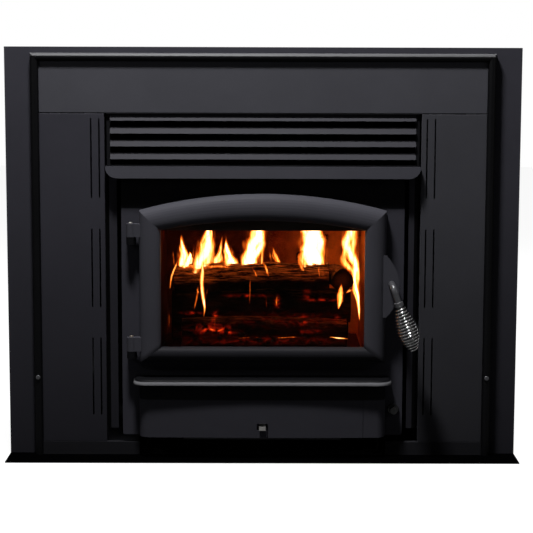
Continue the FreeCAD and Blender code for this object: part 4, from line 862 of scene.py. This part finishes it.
def studio_floor():
    """A round pale floor: one flat sheet inside a rim of points, just under the object."""
    reach, below, corners = 9, -0.0006, 96
    f = Finish("studio_white")
    tone = f.cloud(0.6, 2.0)
    plain = f.node("ShaderNodeBsdfDiffuse", None, {0: (0.05, 0.05, 0.05)})
    pale = f.node("ShaderNodeBsdfDiffuse", None, {0: f.blend(tone, (0.13, 0.13, 0.13), (0.15, 0.15, 0.15))})
    lit = f.node("ShaderNodeEmission", None, {0: (1, 1, 1), 1: 0.94})
    both = f.node("ShaderNodeAddShader", None, {0: pale, 1: lit})
    material = f.close(f.node("ShaderNodeMixShader", None, {0: shown_rays(f), 1: plain, 2: both}))
    turn = np.arange(corners) * TURN / corners
    rim = np.stack([reach * np.cos(turn), reach * np.sin(turn), np.full(corners, below)], -1)
    mesh = bpy.data.meshes.new("studio_floor")
    mesh.from_pydata(rim.tolist(), [], [tuple(range(corners))])
    mesh.materials.append(material)
    floor = bpy.data.objects.new("studio_floor", mesh)
    scene.collection.objects.link(floor)


def soft_lamp(name, place, aim, wide, deep, watts, colour=(1, 1, 1)):
    """A soft light panel that points from its place to its aim."""
    data = bpy.data.lights.new(name, "AREA")
    data.shape = "RECTANGLE"
    data.size = wide
    data.size_y = deep
    data.energy = watts
    data.color = colour
    lamp = bpy.data.objects.new(name, data)
    scene.collection.objects.link(lamp)
    lamp.location = place
    lamp.rotation_euler = (Vector(aim) - Vector(place)).to_track_quat("-Z", "Y").to_euler()


def room_light():
    """White behind the object, a dim even grey for everything that it lights."""
    scene.world = bpy.data.worlds.new("room")
    f = Finish("room", scene.world)
    dim = 0.005
    level = dim + shown_rays(f) * (1 - dim)
    f.close(f.node("ShaderNodeBackground", None, {"Color": (1, 1, 1), "Strength": level}))


def camera():
    """The photograph's view point: a long lens 3.2 m off, looking 7 degrees down."""
    pitch, yaw, roll = np.radians((7.335, 0.156, -0.172))
    place = (-0.0013, -3.2, 0.7936)
    sensor, focal_pixels, picture_pixels = 36.0, 1618.4, 533
    ahead = np.array([np.sin(yaw) * np.cos(pitch), np.cos(yaw) * np.cos(pitch), -np.sin(pitch)])
    right = np.array([np.cos(yaw), -np.sin(yaw), 0.0])
    down = np.cross(ahead, right)
    tilted = np.cos(roll) * right + np.sin(roll) * down
    below = np.cos(roll) * down - np.sin(roll) * right
    data = bpy.data.cameras.new("camera")
    data.sensor_width = sensor
    data.lens = sensor * focal_pixels / picture_pixels
    data.clip_end = 60.0
    eye = bpy.data.objects.new("camera", data)
    scene.collection.objects.link(eye)
    pose = np.eye(4)
    pose[:3, 0], pose[:3, 1], pose[:3, 2], pose[:3, 3] = tilted, -below, -ahead, place
    eye.matrix_world = Matrix(pose.tolist())
    scene.camera = eye


studio_floor()
room_light()
grip, casing = (0.28, -0.08, 0.27), (0.0, 0.3, 0.4)
soft_lamp("key_lamp", (-0.25, -0.62, 2.3), (0.0, -0.02, 0.45), 0.3, 0.16, 69)
soft_lamp("left_front_lamp", (-1.5, -1.07, 1.15), grip, 0.25, 0.25, 1.8)
soft_lamp("right_front_lamp", (1.9, -1.0, 1.07), grip, 0.25, 0.25, 1.8)
soft_lamp("fire_lamp", (0.0, 0.02, 0.452), (0.0, 0.11, 0.3), 0.36, 0.02, 0.1, (1.0, 0.42, 0.12))
soft_lamp("back_lamp", (0.6, 2.4, 2.2), casing, 1.4, 1.4, 46)
soft_lamp("left_lamp", (-2.6, 1.3, 1.4), casing, 1.2, 1.2, 36)
soft_lamp("right_lamp", (2.6, 1.3, 1.4), casing, 1.2, 1.2, 36)
camera()
scene.view_settings.view_transform = "Standard"
